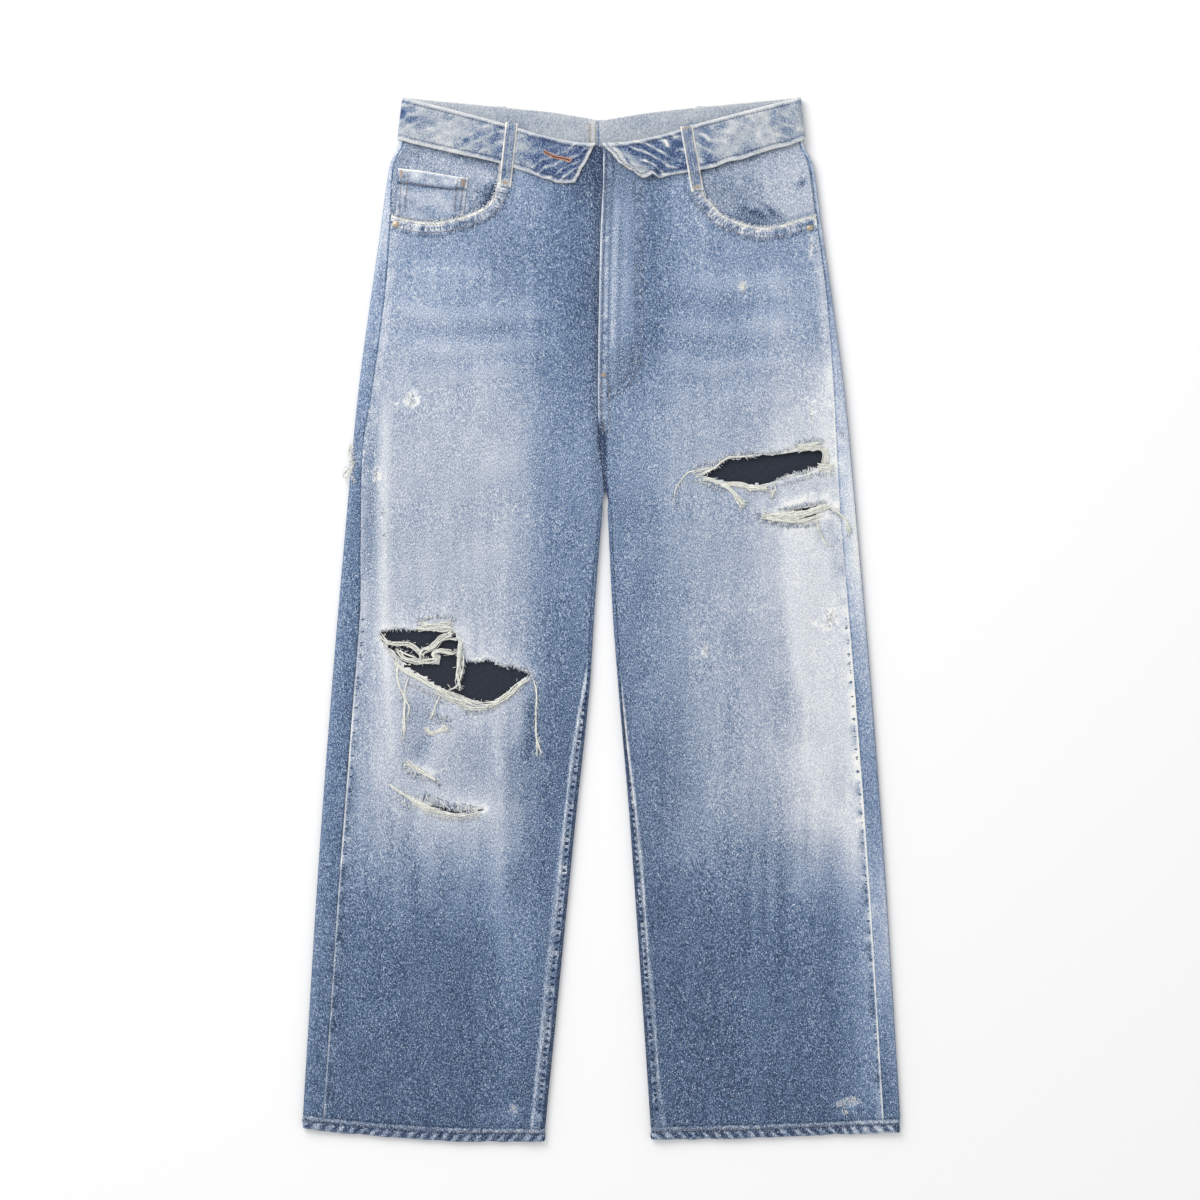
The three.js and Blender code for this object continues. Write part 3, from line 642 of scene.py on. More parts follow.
# ---------------------------------------------------------------- fronts
EDGE_STEPS = np.array([0, 0.5, 1.2, 2.2, 3.6, 5.4, 7.6, 10])
ROW_STEP = 2.8
INNER_WRAP = 3.4  # the inseam's distance from the folded inner edge

POCKET_CURVE = {
    RIGHT: [(96, 30), (104, 86), (110, 103), (121, 112), (138, 119), (161, 124), (181, 124), (198, 121),
            (211, 117)],
    LEFT: [(92, 30), (99, 88), (110, 106), (122, 118), (141, 126), (161, 130), (182, 127), (200, 121),
           (214, 118)],
}

# Rips as outlines of (x, drop)
RIPS = {
    RIGHT: {
        "upper": [
            (-222, 533), (-206, 531), (-198, 531), (-187.5, 532), (-177, 532), (-165.5, 534),
            (-153.5, 535), (-146.5, 533.5), (-143.5, 541.5), (-145, 556.6), (-162.5, 557.5), (-171, 566),
            (-197.8, 566.3), (-203.5, 558), (-209, 551), (-218, 543),
        ],
        "main": [
            (-197.8, 567.6), (-184, 565.5), (-162.5, 565.6), (-159.6, 557.5), (-145, 556.6),
            (-136, 561.9), (-126, 563.4), (-114, 561.1), (-105.3, 564), (-99.5, 568.5), (-87.7, 567.7),
            (-79, 572.2), (-70.1, 576.6), (-80.5, 582.4), (-93.6, 594.2), (-104, 601), (-115.6, 605.9),
            (-131.7, 601.5), (-149.3, 595.6), (-165.5, 586.8), (-183, 575),
        ],
        "lower": [
            (-172, 706.5), (-158, 709.2), (-142, 711.6), (-130, 712), (-114, 710.8), (-130, 714.2),
            (-141, 715), (-154, 713.8), (-165, 710),
        ],
    },
    LEFT: {
        "upper": [
            (99.9, 377.8), (112, 371.4), (126, 361.2), (140, 360), (155.3, 358), (169.4, 358), (182, 356),
            (196, 353), (211.5, 353), (220.4, 352.3), (221.7, 360), (219.8, 367), (210.2, 371.4),
            (201.3, 374.6), (186, 377.8), (179.6, 380.4), (168, 386), (156.6, 385.5), (145, 386),
            (135, 385.5), (124.7, 385.2), (114.5, 381.6), (105.6, 379),
        ],
        "lower": [
            (186, 413.5), (196, 411.5), (204, 410), (212, 408), (222, 407.5), (217, 413), (212.5, 418),
            (204, 422), (195, 423.5), (187, 420),
        ],
    },
}
TEAR_STEP, TEAR_DEPTH = 1.6, 0.9
SNAP_REACH = 1.75  # how far a grid point moves on to a cut edge


def pocket_opening(side):
    """The pocket's edge as (x, drop) points."""
    return [(side * a, b) for a, b in POCKET_CURVE[side]]


def ragged(points, seed):
    """A torn edge through an outline's points."""
    p = np.asarray(points, float)
    s = travelled(np.vstack([p, p[:1]]))
    even = np.arange(0, s[-1], TEAR_STEP)
    ring = np.stack([np.interp(even, s, np.append(p[:, k], p[0, k])) for k in range(2)], axis=1)
    tangent = np.roll(ring, -1, axis=0) - np.roll(ring, 1, axis=0)
    normal = np.stack([-tangent[:, 1], tangent[:, 0]], axis=1)
    normal /= np.maximum(np.linalg.norm(normal, axis=1), 1e-6)[:, None]
    rough = noise(even, 0 * even, 3.2, 1, seed) + 0.6 * noise(even, 0 * even, 1.7, 1, seed + 1)
    return ring + normal * (TEAR_DEPTH * rough)[:, None]


def carve(x, drop, faces, rings):
    """Snaps grid points to the rings and drops the faces inside them."""
    x, drop = x.copy(), drop.copy()
    for ring in rings:
        low, high = ring.min(0) - 4, ring.max(0) + 4
        near = np.flatnonzero((x > low[0]) & (x < high[0]) & (drop > low[1]) & (drop < high[1]))
        if not len(near):
            continue
        a, b = ring, np.roll(ring, -1, axis=0)
        d = b - a
        length2 = np.maximum((d**2).sum(1), 1e-9)
        px, py = x[near][:, None] - a[None, :, 0], drop[near][:, None] - a[None, :, 1]
        t = np.clip((px * d[:, 0] + py * d[:, 1]) / length2, 0, 1)
        ex, ey = px - t * d[:, 0], py - t * d[:, 1]
        distance = np.hypot(ex, ey)
        best = distance.argmin(1)
        rows = np.arange(len(near))
        snap = distance[rows, best] < SNAP_REACH
        x[near[snap]] = (a[best, 0] + t[rows, best] * d[best, 0])[snap]
        drop[near[snap]] = (a[best, 1] + t[rows, best] * d[best, 1])[snap]
    centre_across, centre_down = x[faces].mean(1), drop[faces].mean(1)
    gone = np.zeros(len(faces), bool)
    for ring in rings:
        gone |= inside(centre_across, centre_down, ring)
    return x, drop, faces[~gone]


def front_rings(side):
    rings = [ragged(points, 40 + 7 * i + side) for i, points in enumerate(RIPS[side].values())]
    top = spline(pocket_opening(side), 1.5)
    pocket = np.vstack([top, [(side * 240, 112), (side * 240, -30), (side * 96, -30)]])
    return rings, pocket


def rip_whitening(x, drop, rings):
    """Cloth near a rip is worn white."""
    wear = np.zeros(np.shape(x))
    for ring in rings:
        low, high = ring.min(0) - 30, ring.max(0) + 30
        near = (x > low[0]) & (x < high[0]) & (drop > low[1]) & (drop < high[1])
        distance, _ = distance_to_path(x[near], drop[near], np.vstack([ring, ring[:1]]))
        worn = np.zeros(np.shape(x))
        worn[near] = 0.30 * bump(distance, 0, 3.0) + 0.08 * bump(distance, 0, 14)
        wear = np.maximum(wear, worn)
    return wear


# Small abrasions as (x, drop, half width, half height, strength)
ABRASIONS = [
    (-190, 302, 6, 8, 0.55), (-225, 379, 3, 9, 0.4), (-217, 413, 2, 2, 0.5), (-216, 437, 2, 2, 0.5),
    (-88, 1011, 5, 8, 0.5), (-162, 629, 9, 4, 0.2), (-180, 672, 16, 5, 0.22), (-150, 708, 42, 8, 0.14),
    (-246, 368, 6, 15, 0.5), (141, 189, 4, 6, 0.6), (209, 153, 3, 10, 0.45), (209, 315, 3, 11, 0.45),
    (240, 336, 4, 8, 0.45), (228, 519, 6, 12, 0.5), (103, 552, 4, 8, 0.45), (246, 1005, 13, 6, 0.5),
    (160, 404, 9, 12, 0.12), (225, 370, 8, 6, 0.3), (196, 414, 34, 11, 0.18),
]


def abrasion(x, drop):
    worn = np.zeros(np.shape(x))
    for cx, cy, rx, ry, strength in ABRASIONS:
        rough = 1 + 0.5 * noise(x, drop, 3.5, 3, 61) + 0.35 * noise(x, drop, 1.8, 5, 62)
        d = np.hypot((x - cx) / rx, (drop - cy) / ry) * rough
        worn = np.maximum(worn, strength * (1 - smooth(d, 0.5, 1.15)))
    return worn


INSEAM_WIDTH = {RIGHT: curve((552, 2.5), (632, 9.5), (714, 11.5), (LENGTH, 12)),
                LEFT: curve((552, 2.5), (652, 4.5), (732, 7.5), (867, 9.5), (930, 10), (LENGTH, 12.5))}
BAND_WIDTH = 12.5  # stitched band along a pocket opening
FLY_CURVE = [(36.5, 84), (37, 200), (36.5, 240), (35.6, 258), (32.4, 271.5), (26, 283.6), (19, 290.6),
             (9, 296.8)]


def dress_side_seam(side, out, drop, height, dye_and_shading):
    """A groove, a pale edge and puckers."""
    to_seam = outline(drop) - side_seam[side](drop) - out
    blotch = noise(drop, 0 * drop, 7, 1, 75 + side)
    height += 0.3 * noise(drop, 0 * drop, 7, 1, 71 + side) * bump(to_seam, 0, 6)
    height -= 0.2 * bump(to_seam, 0, 0.8)
    low_down = smooth(drop, 520, 680)
    dye_and_shading += (0.12 + 0.26 * low_down) * np.clip(blotch + 0.1, -0.5, 1) * bump(to_seam, 4.2, 3.4)
    dye_and_shading -= (0.12 + 0.55 * low_down) * bump(to_seam, 0.9, 1.1)
    edge_worn = 0.16 * (1 - low_down) if side == RIGHT else 0.16 - 0.12 * smooth(drop, 250, 330)
    dye_and_shading -= edge_worn * (1 - low_down) * bump(to_seam, 4.5, 4.0)


def dress_pocket_band(side, out, drop, height, dye_and_shading):
    """The band along the pocket opening, puckered between its two rows of stitches."""
    near = (drop < 160) & (out > 60)
    d, along = distance_to_path(side * out[near], drop[near], pocket_opening(side))
    in_band = 1 - smooth(d, BAND_WIDTH - 1.0, BAND_WIDTH + 0.6)
    pucker = noise(190 * along, 0 * along, 2.3, 1, 77 + side)
    height[near] += 0.8 * in_band + 0.6 * pucker * bump(d, 7, 4)
    height[near] -= 0.35 * bump(d, 3.6, 0.7) + 0.4 * bump(d, 10.8, 0.8) + 0.5 * (1 - smooth(d, 0, 1.2))
    dye_and_shading[near] += (0.9 * np.clip(pucker, -0.15, 0.6) - 0.05) * bump(d, 7.6, 3.0)
    dye_and_shading[near] -= 0.26 * in_band + 0.7 * (1 - smooth(d, 2.6, 4.4))
    # the lines at 10.9 and past the band's edge are painted shade in the outer stitch groove and a painted
    # shadow below the raised band
    dye_and_shading[near] += 0.25 * bump(d, 5.0, 0.8) + 0.35 * bump(d, 10.9, 0.9) + 0.4 * bump(d, BAND_WIDTH + 0.9, 1.2)


def dress_inseam(side, out, drop, height, dye_and_shading):
    """A felled strip with a pale edge."""
    e = out - inner_edge[side](drop)
    width = INSEAM_WIDTH[side](drop)
    below = smooth(drop, 548, 600)
    roped = noise(drop + 0.5 * e, 0 * drop, 4.6, 1, 83 + side)
    swell = 0.3 * roped * bump(e, 0.5 * width, 0.45 * width)
    height += below * (0.55 * (1 - smooth(e, width - 0.4, width + 0.8)) + swell)
    dye_and_shading += below * ((0.3 * roped - 0.32) * bump(e, 0.5 * width, 0.48 * width) - 0.6 * bump(e, width, 1.3))
    dye_and_shading += below * 0.34 * (1 - smooth(e, 0.2 * width, 0.34 * width))
    dye_and_shading += below * 0.14 * bump(e, width + 2.4, 1.6)


def shade_rise(side, out, drop, dye_and_shading):
    """Painted shade in the gap under the waistband's ends, in the valley of the front rise, and along the
    right front's inner edge.
    """
    e = out - inner_edge[side](drop)
    dye_and_shading += 0.42 * bump(out, 4, 22) * bump(drop, 66, 34)
    valley = smooth(drop, 318, 340) * (1 - smooth(drop, 400, 440))
    depth = 7.5 - 5.0 * smooth(drop, 335, 385) if side == LEFT else 0.6
    # painted shade in the valley of the front rise
    dye_and_shading += valley * (1 - smooth(e, depth - 0.8, depth + 1.2))
    if side == RIGHT:
        # painted shade along the right front's inner edge, under the fly
        dye_and_shading += 0.3 * bump(e, 0, 7) * (1 - smooth(drop, 300, 390))


def dress_fly(out, drop, height, dye_and_shading):
    """The left front's folded edge, the worn streaks beside it and the felled rise below."""
    e = out - inner_edge[LEFT](drop)
    on_fly = smooth(drop, 50, 60) * (1 - smooth(drop, 286, 300))
    on_rise = smooth(drop, 50, 60) * (1 - smooth(drop, 326, 350))
    edge_white = 0.34 + 0.36 * bump(drop, 66, 40)
    dye_and_shading -= edge_white * (1 - smooth(e, 1.2, 2.2)) * on_rise * (1 - 0.6 * smooth(drop, 280, 330))
    height -= 0.45 * bump(e, 3.6, 0.8) * on_rise
    # painted shade in the groove beside the folded edge
    dye_and_shading += 0.34 * bump(e, 3.8, 1.0) * on_rise
    ripple = noise(drop, 0 * drop, 4.0, 1, 85)
    # the second term is painted shade in the groove 10.2 mm from the edge
    dye_and_shading += (0.3 * ripple - 0.14) * bump(e, 6.8, 2.2) * on_fly + 0.26 * bump(e, 10.2, 1.0) * on_fly
    height += (0.3 * ripple) * bump(e, 6.5, 2.5) * on_fly - 0.25 * bump(e, 10.2, 1.0) * on_fly
    fading = on_fly * smooth(drop, 84, 120)
    streak = 0.6 + 0.4 * noise(out, drop, 4, 60, 86)
    dye_and_shading -= (0.40 * bump(e, 14.6, 2.9) * (1 - smooth(drop, 235, 268)) + 0.2 * bump(e, 24.5, 2.6)
            * (1 - smooth(drop, 200, 260))) * streak * fading
    dye_and_shading += 0.12 * bump(e, 20, 2.2) * fading + 0.2 * bump(out, 22, 12) * bump(drop, 262, 18)
    height += 0.35 * (bump(e, 14.6, 3) + 0.7 * bump(e, 24.5, 2.6) - 0.5 * bump(e, 20, 2)) * fading
    dress_fly_rows(out, drop, height, dye_and_shading)
    rise = smooth(drop, 276, 284) * (1 - smooth(drop, 330, 350))
    dye_and_shading += rise * (0.4 * bump(e, 11.4, 1.1) - 0.12 * bump(e, 6.4, 2.6) + 0.2 * ripple * bump(e, 6.4, 3))
    height += rise * 0.5 * (1 - smooth(e, 10.2, 11.4))


def dress_fly_rows(out, drop, height, dye_and_shading):
    """The cloth round the fly's curved double row."""
    near = (drop > 70) & (drop < 312) & (out > 4) & (out < 52)
    d, along = distance_to_path(out[near], drop[near], FLY_CURVE)
    speck = noise(300 * along, d, 3.4, 2.5, 87)
    height[near] += 0.25 * bump(d, 0, 3) - 0.3 * bump(d, 3.4, 0.7)
    # the second term is painted shade in the grooves of the two rows
    dye_and_shading[near] += (0.05 + 0.3 * speck) * bump(d, 0, 4.6) + 0.3 * bump(d, 3.4, 1.0)


def dressing(side, out, drop):
    """Height and colour added to a front by its seams, bands and puckers, with painted shade in grooves, gaps
    and the rise's valley.
    """
    out, drop = np.broadcast_arrays(np.asarray(out, float), np.asarray(drop, float))
    height, dye_and_shading = np.zeros(out.shape), np.zeros(out.shape)
    dress_side_seam(side, out, drop, height, dye_and_shading)
    dress_pocket_band(side, out, drop, height, dye_and_shading)
    dress_inseam(side, out, drop, height, dye_and_shading)
    shade_rise(side, out, drop, dye_and_shading)
    if side == LEFT:
        dress_fly(out, drop, height, dye_and_shading)
    return height, dye_and_shading


def front_surface(side, out, drop):
    """Outer face of a front, with its edges dressed."""
    height, _ = dressing(side, out, drop)
    z = front_middle(side, out, drop) + CLOTH / 2 + height
    from_centre = out - inner_edge[side](drop)
    above = 1 - smooth(drop, CROTCH - 70, CROTCH - 40)
    tuck, reach = (0.5, 0.8) if side == LEFT else (0.9, 2.5)
    return z - tuck * bump(from_centre, 0, reach) * above


def front_piece(name, side):
    panel = HEM_DROP - PANEL_TOP
    stations = np.arange(PANEL_TOP, HEM_DROP + 0.1, panel / round(panel / ROW_STEP))
    edge_drop = guided(front_guides[side], stations, outline(stations))
    turned = np.clip((stations - CROTCH) / (CURL_END - CROTCH), 0, 1)
    start = inner_edge[side](stations) + INNER_WRAP * turned
    end = outline(edge_drop) - side_seam[side](edge_drop)
    middle = np.linspace(0, 1, 62)[1:-1]
    a, b = start + EDGE_STEPS[-1], end - EDGE_STEPS[-1]
    out = np.concatenate([start[:, None] + EDGE_STEPS, a[:, None] + (b - a)[:, None] * middle,
                          end[:, None] - EDGE_STEPS[::-1]], axis=1)
    drop = guided(front_guides[side], np.repeat(stations[:, None], out.shape[1], 1), out)
    rows, columns = out.shape
    faces = grid_faces(rows, columns)
    rips, pocket = front_rings(side)
    x, drop, faces = carve((side * out).ravel(), drop.ravel(), faces, [*rips, pocket])
    out = side * x
    z = front_surface(side, out, drop)
    dye_and_shading = front_dye_and_shading(side, x, drop) - rip_whitening(x, drop, rips) - abrasion(x, drop)
    # worn holds wear on seams and edges, and painted shade in grooves, gaps and the rise's valley
    worn = dressing(side, out, drop)[1]
    dye_and_shading = np.clip(dye_and_shading + worn, 0.0, 1.45)
    grid = np.stack([x, drop, z], axis=-1)
    verts = to_world(grid)
    if normals_of(verts, faces)[:, 2].sum() < 0:
        faces = faces[:, ::-1]
    used = np.unique(faces)
    renumber = np.full(len(verts), -1)
    renumber[used] = np.arange(len(used))
    both, all_faces, count = thicken(verts[used], renumber[faces], CLOTH)
    blueness = (1 - FADE_ACROSS[side](out) * FADE_DOWN(drop)) * (1 - np.clip(2.5 * abs(worn), 0, 1))
    piece = make(name, both, all_faces, [DENIM, DENIM_BACK], np.tile(dye_and_shading[used], 2), (count, 2 * count),
                 np.tile(blueness[used], 2))
    return finish_piece(piece, "denim", name)


# ---------------------------------------------------------------- backs and yokes
LAP_STEPS = [0, 0.04, 0.1, 0.18, 0.28, 0.4, 0.55, 0.75]  # from the side seam to the outer fold
BEND_COLUMNS = 9
UNDER_COLUMNS = 54
CURL_STEPS = [0.35, 0.7, 1.0]  # from the inner leg's fold to the inseam


def back_grid(side, stations):
    """Outer face of a back piece: side seam in front, outer fold, underside, inner leg."""
    guides = back_guides[side]
    low, high = back_height(stations), edge_height(stations)
    radius, centre = (high - low) / 2, (high + low) / 2
    edge_drop = guided(guides, stations, outline(stations))
    outer = outline(edge_drop) - CLOTH / 2 - radius
    seam = outline(edge_drop) - side_seam[side](edge_drop)
    inner = np.where(stations < CROTCH, side * back_seam(stations), inner_edge[side](stations))
    under_curl = inner + radius + CLOTH / 2 + 1
    places = []

    def add(out, turn, z_middle):
        places.append((out + np.sin(turn) * CLOTH / 2, z_middle + np.cos(turn) * CLOTH / 2))

    for f in LAP_STEPS:
        add(seam + (outer - seam) * f, 0.0, high)
    for bend in np.linspace(0, math.pi, BEND_COLUMNS):
        add(outer + radius * math.sin(bend), bend, centre + radius * math.cos(bend))
    for f in np.linspace(0, 1, UNDER_COLUMNS)[1:-1]:
        add(outer + (under_curl - outer) * f, math.pi, low)
    curled = np.clip((stations - CROTCH) / (CURL_END - CROTCH), 0, 1)
    inner_centre = inner + CLOTH / 2 + radius
    tail = [(b, None) for b in np.linspace(0, math.pi, BEND_COLUMNS)] + [(math.pi, f) for f in CURL_STEPS]
    for index, (bend, lap) in enumerate(tail):
        flat_out = under_curl + (inner - under_curl) * index / (len(tail) - 1)
        flat_z = low - CLOTH / 2
        if lap is None:
            out = inner_centre - math.sin(bend) * (radius + CLOTH / 2)
            z = centre - math.cos(bend) * (radius + CLOTH / 2)
        else:
            out = inner_centre + (inner + EDGE_WRAP - inner_centre) * lap
            z = high + CLOTH / 2
        places.append((flat_out * (1 - curled) + out * curled, flat_z * (1 - curled) + z * curled))
    out = np.stack([a for a, _ in places], axis=1)
    z = np.stack([b for _, b in places], axis=1)
    drop = guided(guides, np.repeat(stations[:, None], out.shape[1], 1), out)
    return out, drop, z


def lap_dye_and_shading(side, x, drop, from_seam):
    """Dye of the strip of a back that shows in front, between the side seam and the outer fold, with painted
    shade along the seam.
    """
    blotch = noise(drop, 0 * drop, 11, 1, 78 + side)
    dye_and_shading = BLUE_DOWN(drop) - 0.1 + 0.05 * noise(x, drop, 5, 60, 79)
    dye_and_shading = dye_and_shading - 0.16 * np.clip((from_seam - 6) / 14, 0, 1) - 0.26 * (1 - smooth(drop, 130, 200))
    if side == LEFT:
        dye_and_shading = dye_and_shading - 0.56 * bump(drop, 430, 190) + 0.06 * bump(drop, 720, 70) - 0.46 * bump(drop, 842, 130)
    else:
        dye_and_shading = dye_and_shading + 0.08 * bump(drop, 600, 120) + 0.1 * bump(drop, 462, 60)
    # painted shade along the seam, strongest near the waist
    seam_shade = 0.25 + 0.4 * (1 - smooth(drop, 150, 240)) - 0.2 * smooth(drop, 600, 750)
    return dye_and_shading + 0.12 * blotch * bump(from_seam, 0, 6) + seam_shade * bump(from_seam, 0.6, 0.9)


def back_piece(name, side, stations):
    out, drop, z = back_grid(side, stations)
    x = side * out
    columns = np.arange(out.shape[1])
    folded = len(LAP_STEPS) + BEND_COLUMNS
    curling = BEND_COLUMNS + len(CURL_STEPS)
    lap = (columns < len(LAP_STEPS) + 3)[None, :] * np.ones_like(out)
    under = ((columns > folded) & (columns < len(columns) - curling))[None, :] * np.ones_like(out)
    from_seam = out - (outline(drop) - side_seam[side](drop))
    pucker = noise(drop, 0 * drop, 8, 1, 71 + side)
    z = z + lap * (0.35 * pucker * bump(from_seam, 0, 6) - 0.35 * bump(from_seam, 0, 1.0))
    arch = np.clip(noise(x, drop, 45, 120, 91) + 0.5 * noise(x, drop, 20, 60, 92), 0, 1)
    z = z + under * 0.8 * arch * smooth(drop, 110, 160) * (1 - smooth(drop, HEM_DROP - 40, HEM_DROP))
    dye_and_shading = np.where(lap > 0, lap_dye_and_shading(side, x, drop, from_seam), back_dye(side, x, drop))
    # painted shade along the back's inner edge where it wraps to the front, low on the leg
    wrapped_edge_shade = (columns > out.shape[1] - 8)[None, :] * smooth(drop, 560, 640)
    dye_and_shading = dye_and_shading + wrapped_edge_shade * (0.3 + 0.25 * noise(drop, 0 * drop, 4.2, 1, 88 + side))
    wrong_side = 0.47 + 0.1 * noise(x, drop, 40, 9, 76) + 0.05 * noise(x, drop, 7, 7, 74)
    wrong_side = wrong_side + 0.6 * bump(x, -3.4, 0.9) - 0.16 * bump(x, -8, 6)
    points = np.stack([x, drop, z], axis=-1)
    piece = cloth(name, points, dye_and_shading, CLOTH, [DENIM, DENIM_BACK], up=False, inside_dye=wrong_side, blue=1.0)
    return finish_piece(piece, "denim", name)


# ---------------------------------------------------------------- waistband
FLAP_END = 6
FLAP_SLANT = 21
SLANT_FADE = 75
BUTTON_LIFT = 3
BAND_EDGE = outline(0) - CLOTH / 2 - (TORSO_FRONT - WAIST_BACK) / 2
BAND_RADIUS = (BAND_FRONT - BAND_BACK) / 2
LOOP_OUT = {RIGHT: 93, LEFT: 90}


def band_ridges(side, out, down):
    """Sharp diagonal creases of the turned-down band, from 0 to 1."""
    bent = 0.8 * noise(out, down, 18, 14, 103 + side) + 0.45 * noise(out, down, 8, 7, 108 + side)
    wave = np.clip(np.sin((0.7 * out - down) / 1.8 + 2.2 * bent), 0, 1) ** 1.5
    return wave * np.clip(0.65 + 0.8 * noise(out, down, 9, 9, 109 + side), 0, 1)


def band_relief(side, out, down):
    """Crumples of the turned-down band in front. It only rises."""
    x = side * out
    near_end = 1 - smooth(out, 44, 92)
    mottled = 0.5 * noise(x + 0.5 * down, down, 13, 17, 101) + 0.35 * noise(x, down, 7, 8, 102)
    lumps = 1.0 * noise(x, down, 15, 13, 104) + 0.6 * noise(x, down, 8, 7, 105)
    ridges = band_ridges(side, out, down)
    lumpy = 1.1 if side == LEFT else 0.5
    height = 0.5 + mottled + 0.45 * ridges + near_end * (0.8 * ridges + lumps * lumpy)
    grooves = bump(down, 4.6, 0.9) + bump(down, CUFF - 5.0, 0.9)
    edges = 0.55 * (bump(down, 1.6, 1.8) + bump(down, CUFF - 1.8, 2.0)) - 0.5 * grooves
    quiet = 1 - 0.8 * bump(out, LOOP_OUT[side], 10)
    return np.clip(height * quiet + edges, 0, 3.4) * smooth(down, 0.4, 2.6)


BAND_HANG = {
    RIGHT: curve((6, -3), (25, -2), (60, -1), (90, -1.5), (150, 0)),
    LEFT: curve((6, -10), (15, -8), (24, -6.5), (34, -6.5), (40, -7.5), (46, -4.5), (52, -1), (62, 0),
                (84, 3), (118, 4.5), (150, 3), (190, 0)),
}


def band_warp(side, out, down):
    """How far a spot of the band in front strays outwards and downwards from its straight cut."""
    near_end = 1 - smooth(out, FLAP_END, 26)
    ragged_end = 0.6 * noise(0 * out, down, 1, 9, 107 + side)
    curled_end = 9 * smooth(down, 22, CUFF) - 5 * (1 - smooth(down, 3, 13)) if side == LEFT else 0
    ragged_edge = (1.2 if side == LEFT else 0.4) * noise(out, 0 * out, 14, 1, 106 + side)
    return near_end * (ragged_end + curled_end), (BAND_HANG[side](out) + ragged_edge) * smooth(down, 10, CUFF)


def button_lift(side, out):
    """The left end rides over the button beneath it."""
    return (BUTTON_LIFT if side == LEFT else 0) * (1 - smooth(out, 34, 74))


def band_slant(out):
    """How much further out the band's lower edge lies, near its free end."""
    return FLAP_SLANT * (1 - smooth(out, FLAP_END, SLANT_FADE))


def band_widen(out):
    """How much further out the band's lower edge lies, near the side."""
    return (outline(CUFF) - outline(0)) * smooth(out, 120, BAND_EDGE)


def waistband(name, side):
    fronts_at = np.concatenate([np.linspace(FLAP_END, 96, 76), np.linspace(96, BAND_EDGE, 64)[1:]])
    bends = np.linspace(0, math.pi, 12)[1:-1]
    backs_at = np.linspace(BAND_EDGE, 0, 90)
    base_out = np.concatenate([fronts_at, BAND_EDGE + BAND_RADIUS * np.sin(bends), backs_at])
    turn = np.concatenate([0 * fronts_at, bends, 0 * backs_at + math.pi])
    lift = np.concatenate([button_lift(side, fronts_at), 0 * bends, 0 * backs_at])
    middle = (BAND_FRONT + BAND_BACK) / 2 + BAND_RADIUS * np.cos(turn) + lift
    dip = np.where(turn == 0, front_dip(base_out), np.where(turn >= math.pi, back_dip(base_out), 0))
    half, root = BAND / 2, 0.3 + CLOTH
    rows = 34
    top_down, foot_down = [0.5, 0.1, 0, 0, 0.25, 0.9], [CUFF - 0.6, CUFF - 0.1]
    down = np.concatenate([top_down, np.linspace(1.9, CUFF - 1.6, rows), foot_down])
    top_offset, foot_offset = [-half - root, -half - 0.5 * root, -half, 0.0, 0.7, 0.93], [0.8, 0.35]
    offset = np.concatenate([top_offset, np.full(rows, half), foot_offset])
    base, d = base_out[:, None], down[None, :]
    slant = np.where(turn == 0, band_slant(base_out), 0)[:, None]
    widen = band_widen(base_out)[:, None]
    in_front = (turn == 0)[:, None] * np.ones_like(d)
    stray, hang = band_warp(side, base, d)
    crumple = band_relief(side, base, d * np.ones_like(base)) * np.maximum(in_front, 0.25)
    along_normal = offset[None, :] + crumple
    out = base + np.sin(turn)[:, None] * along_normal + (slant + widen) * d / CUFF + stray * in_front
    drop = dip[:, None] + d + hang * in_front
    z = middle[:, None] + np.cos(turn)[:, None] * along_normal
    x = side * out
    points = np.stack([x, drop, z], axis=-1)
    dye_and_shading = band_dye(side, base * np.ones_like(d), d * np.ones_like(base))
    piece = cloth(name, points, dye_and_shading, BAND - 0.2, [BAND_CLOTH, BAND_CLOTH], toward=(0, 1, 0))
    return finish_piece(piece, "waistband_denim", name)


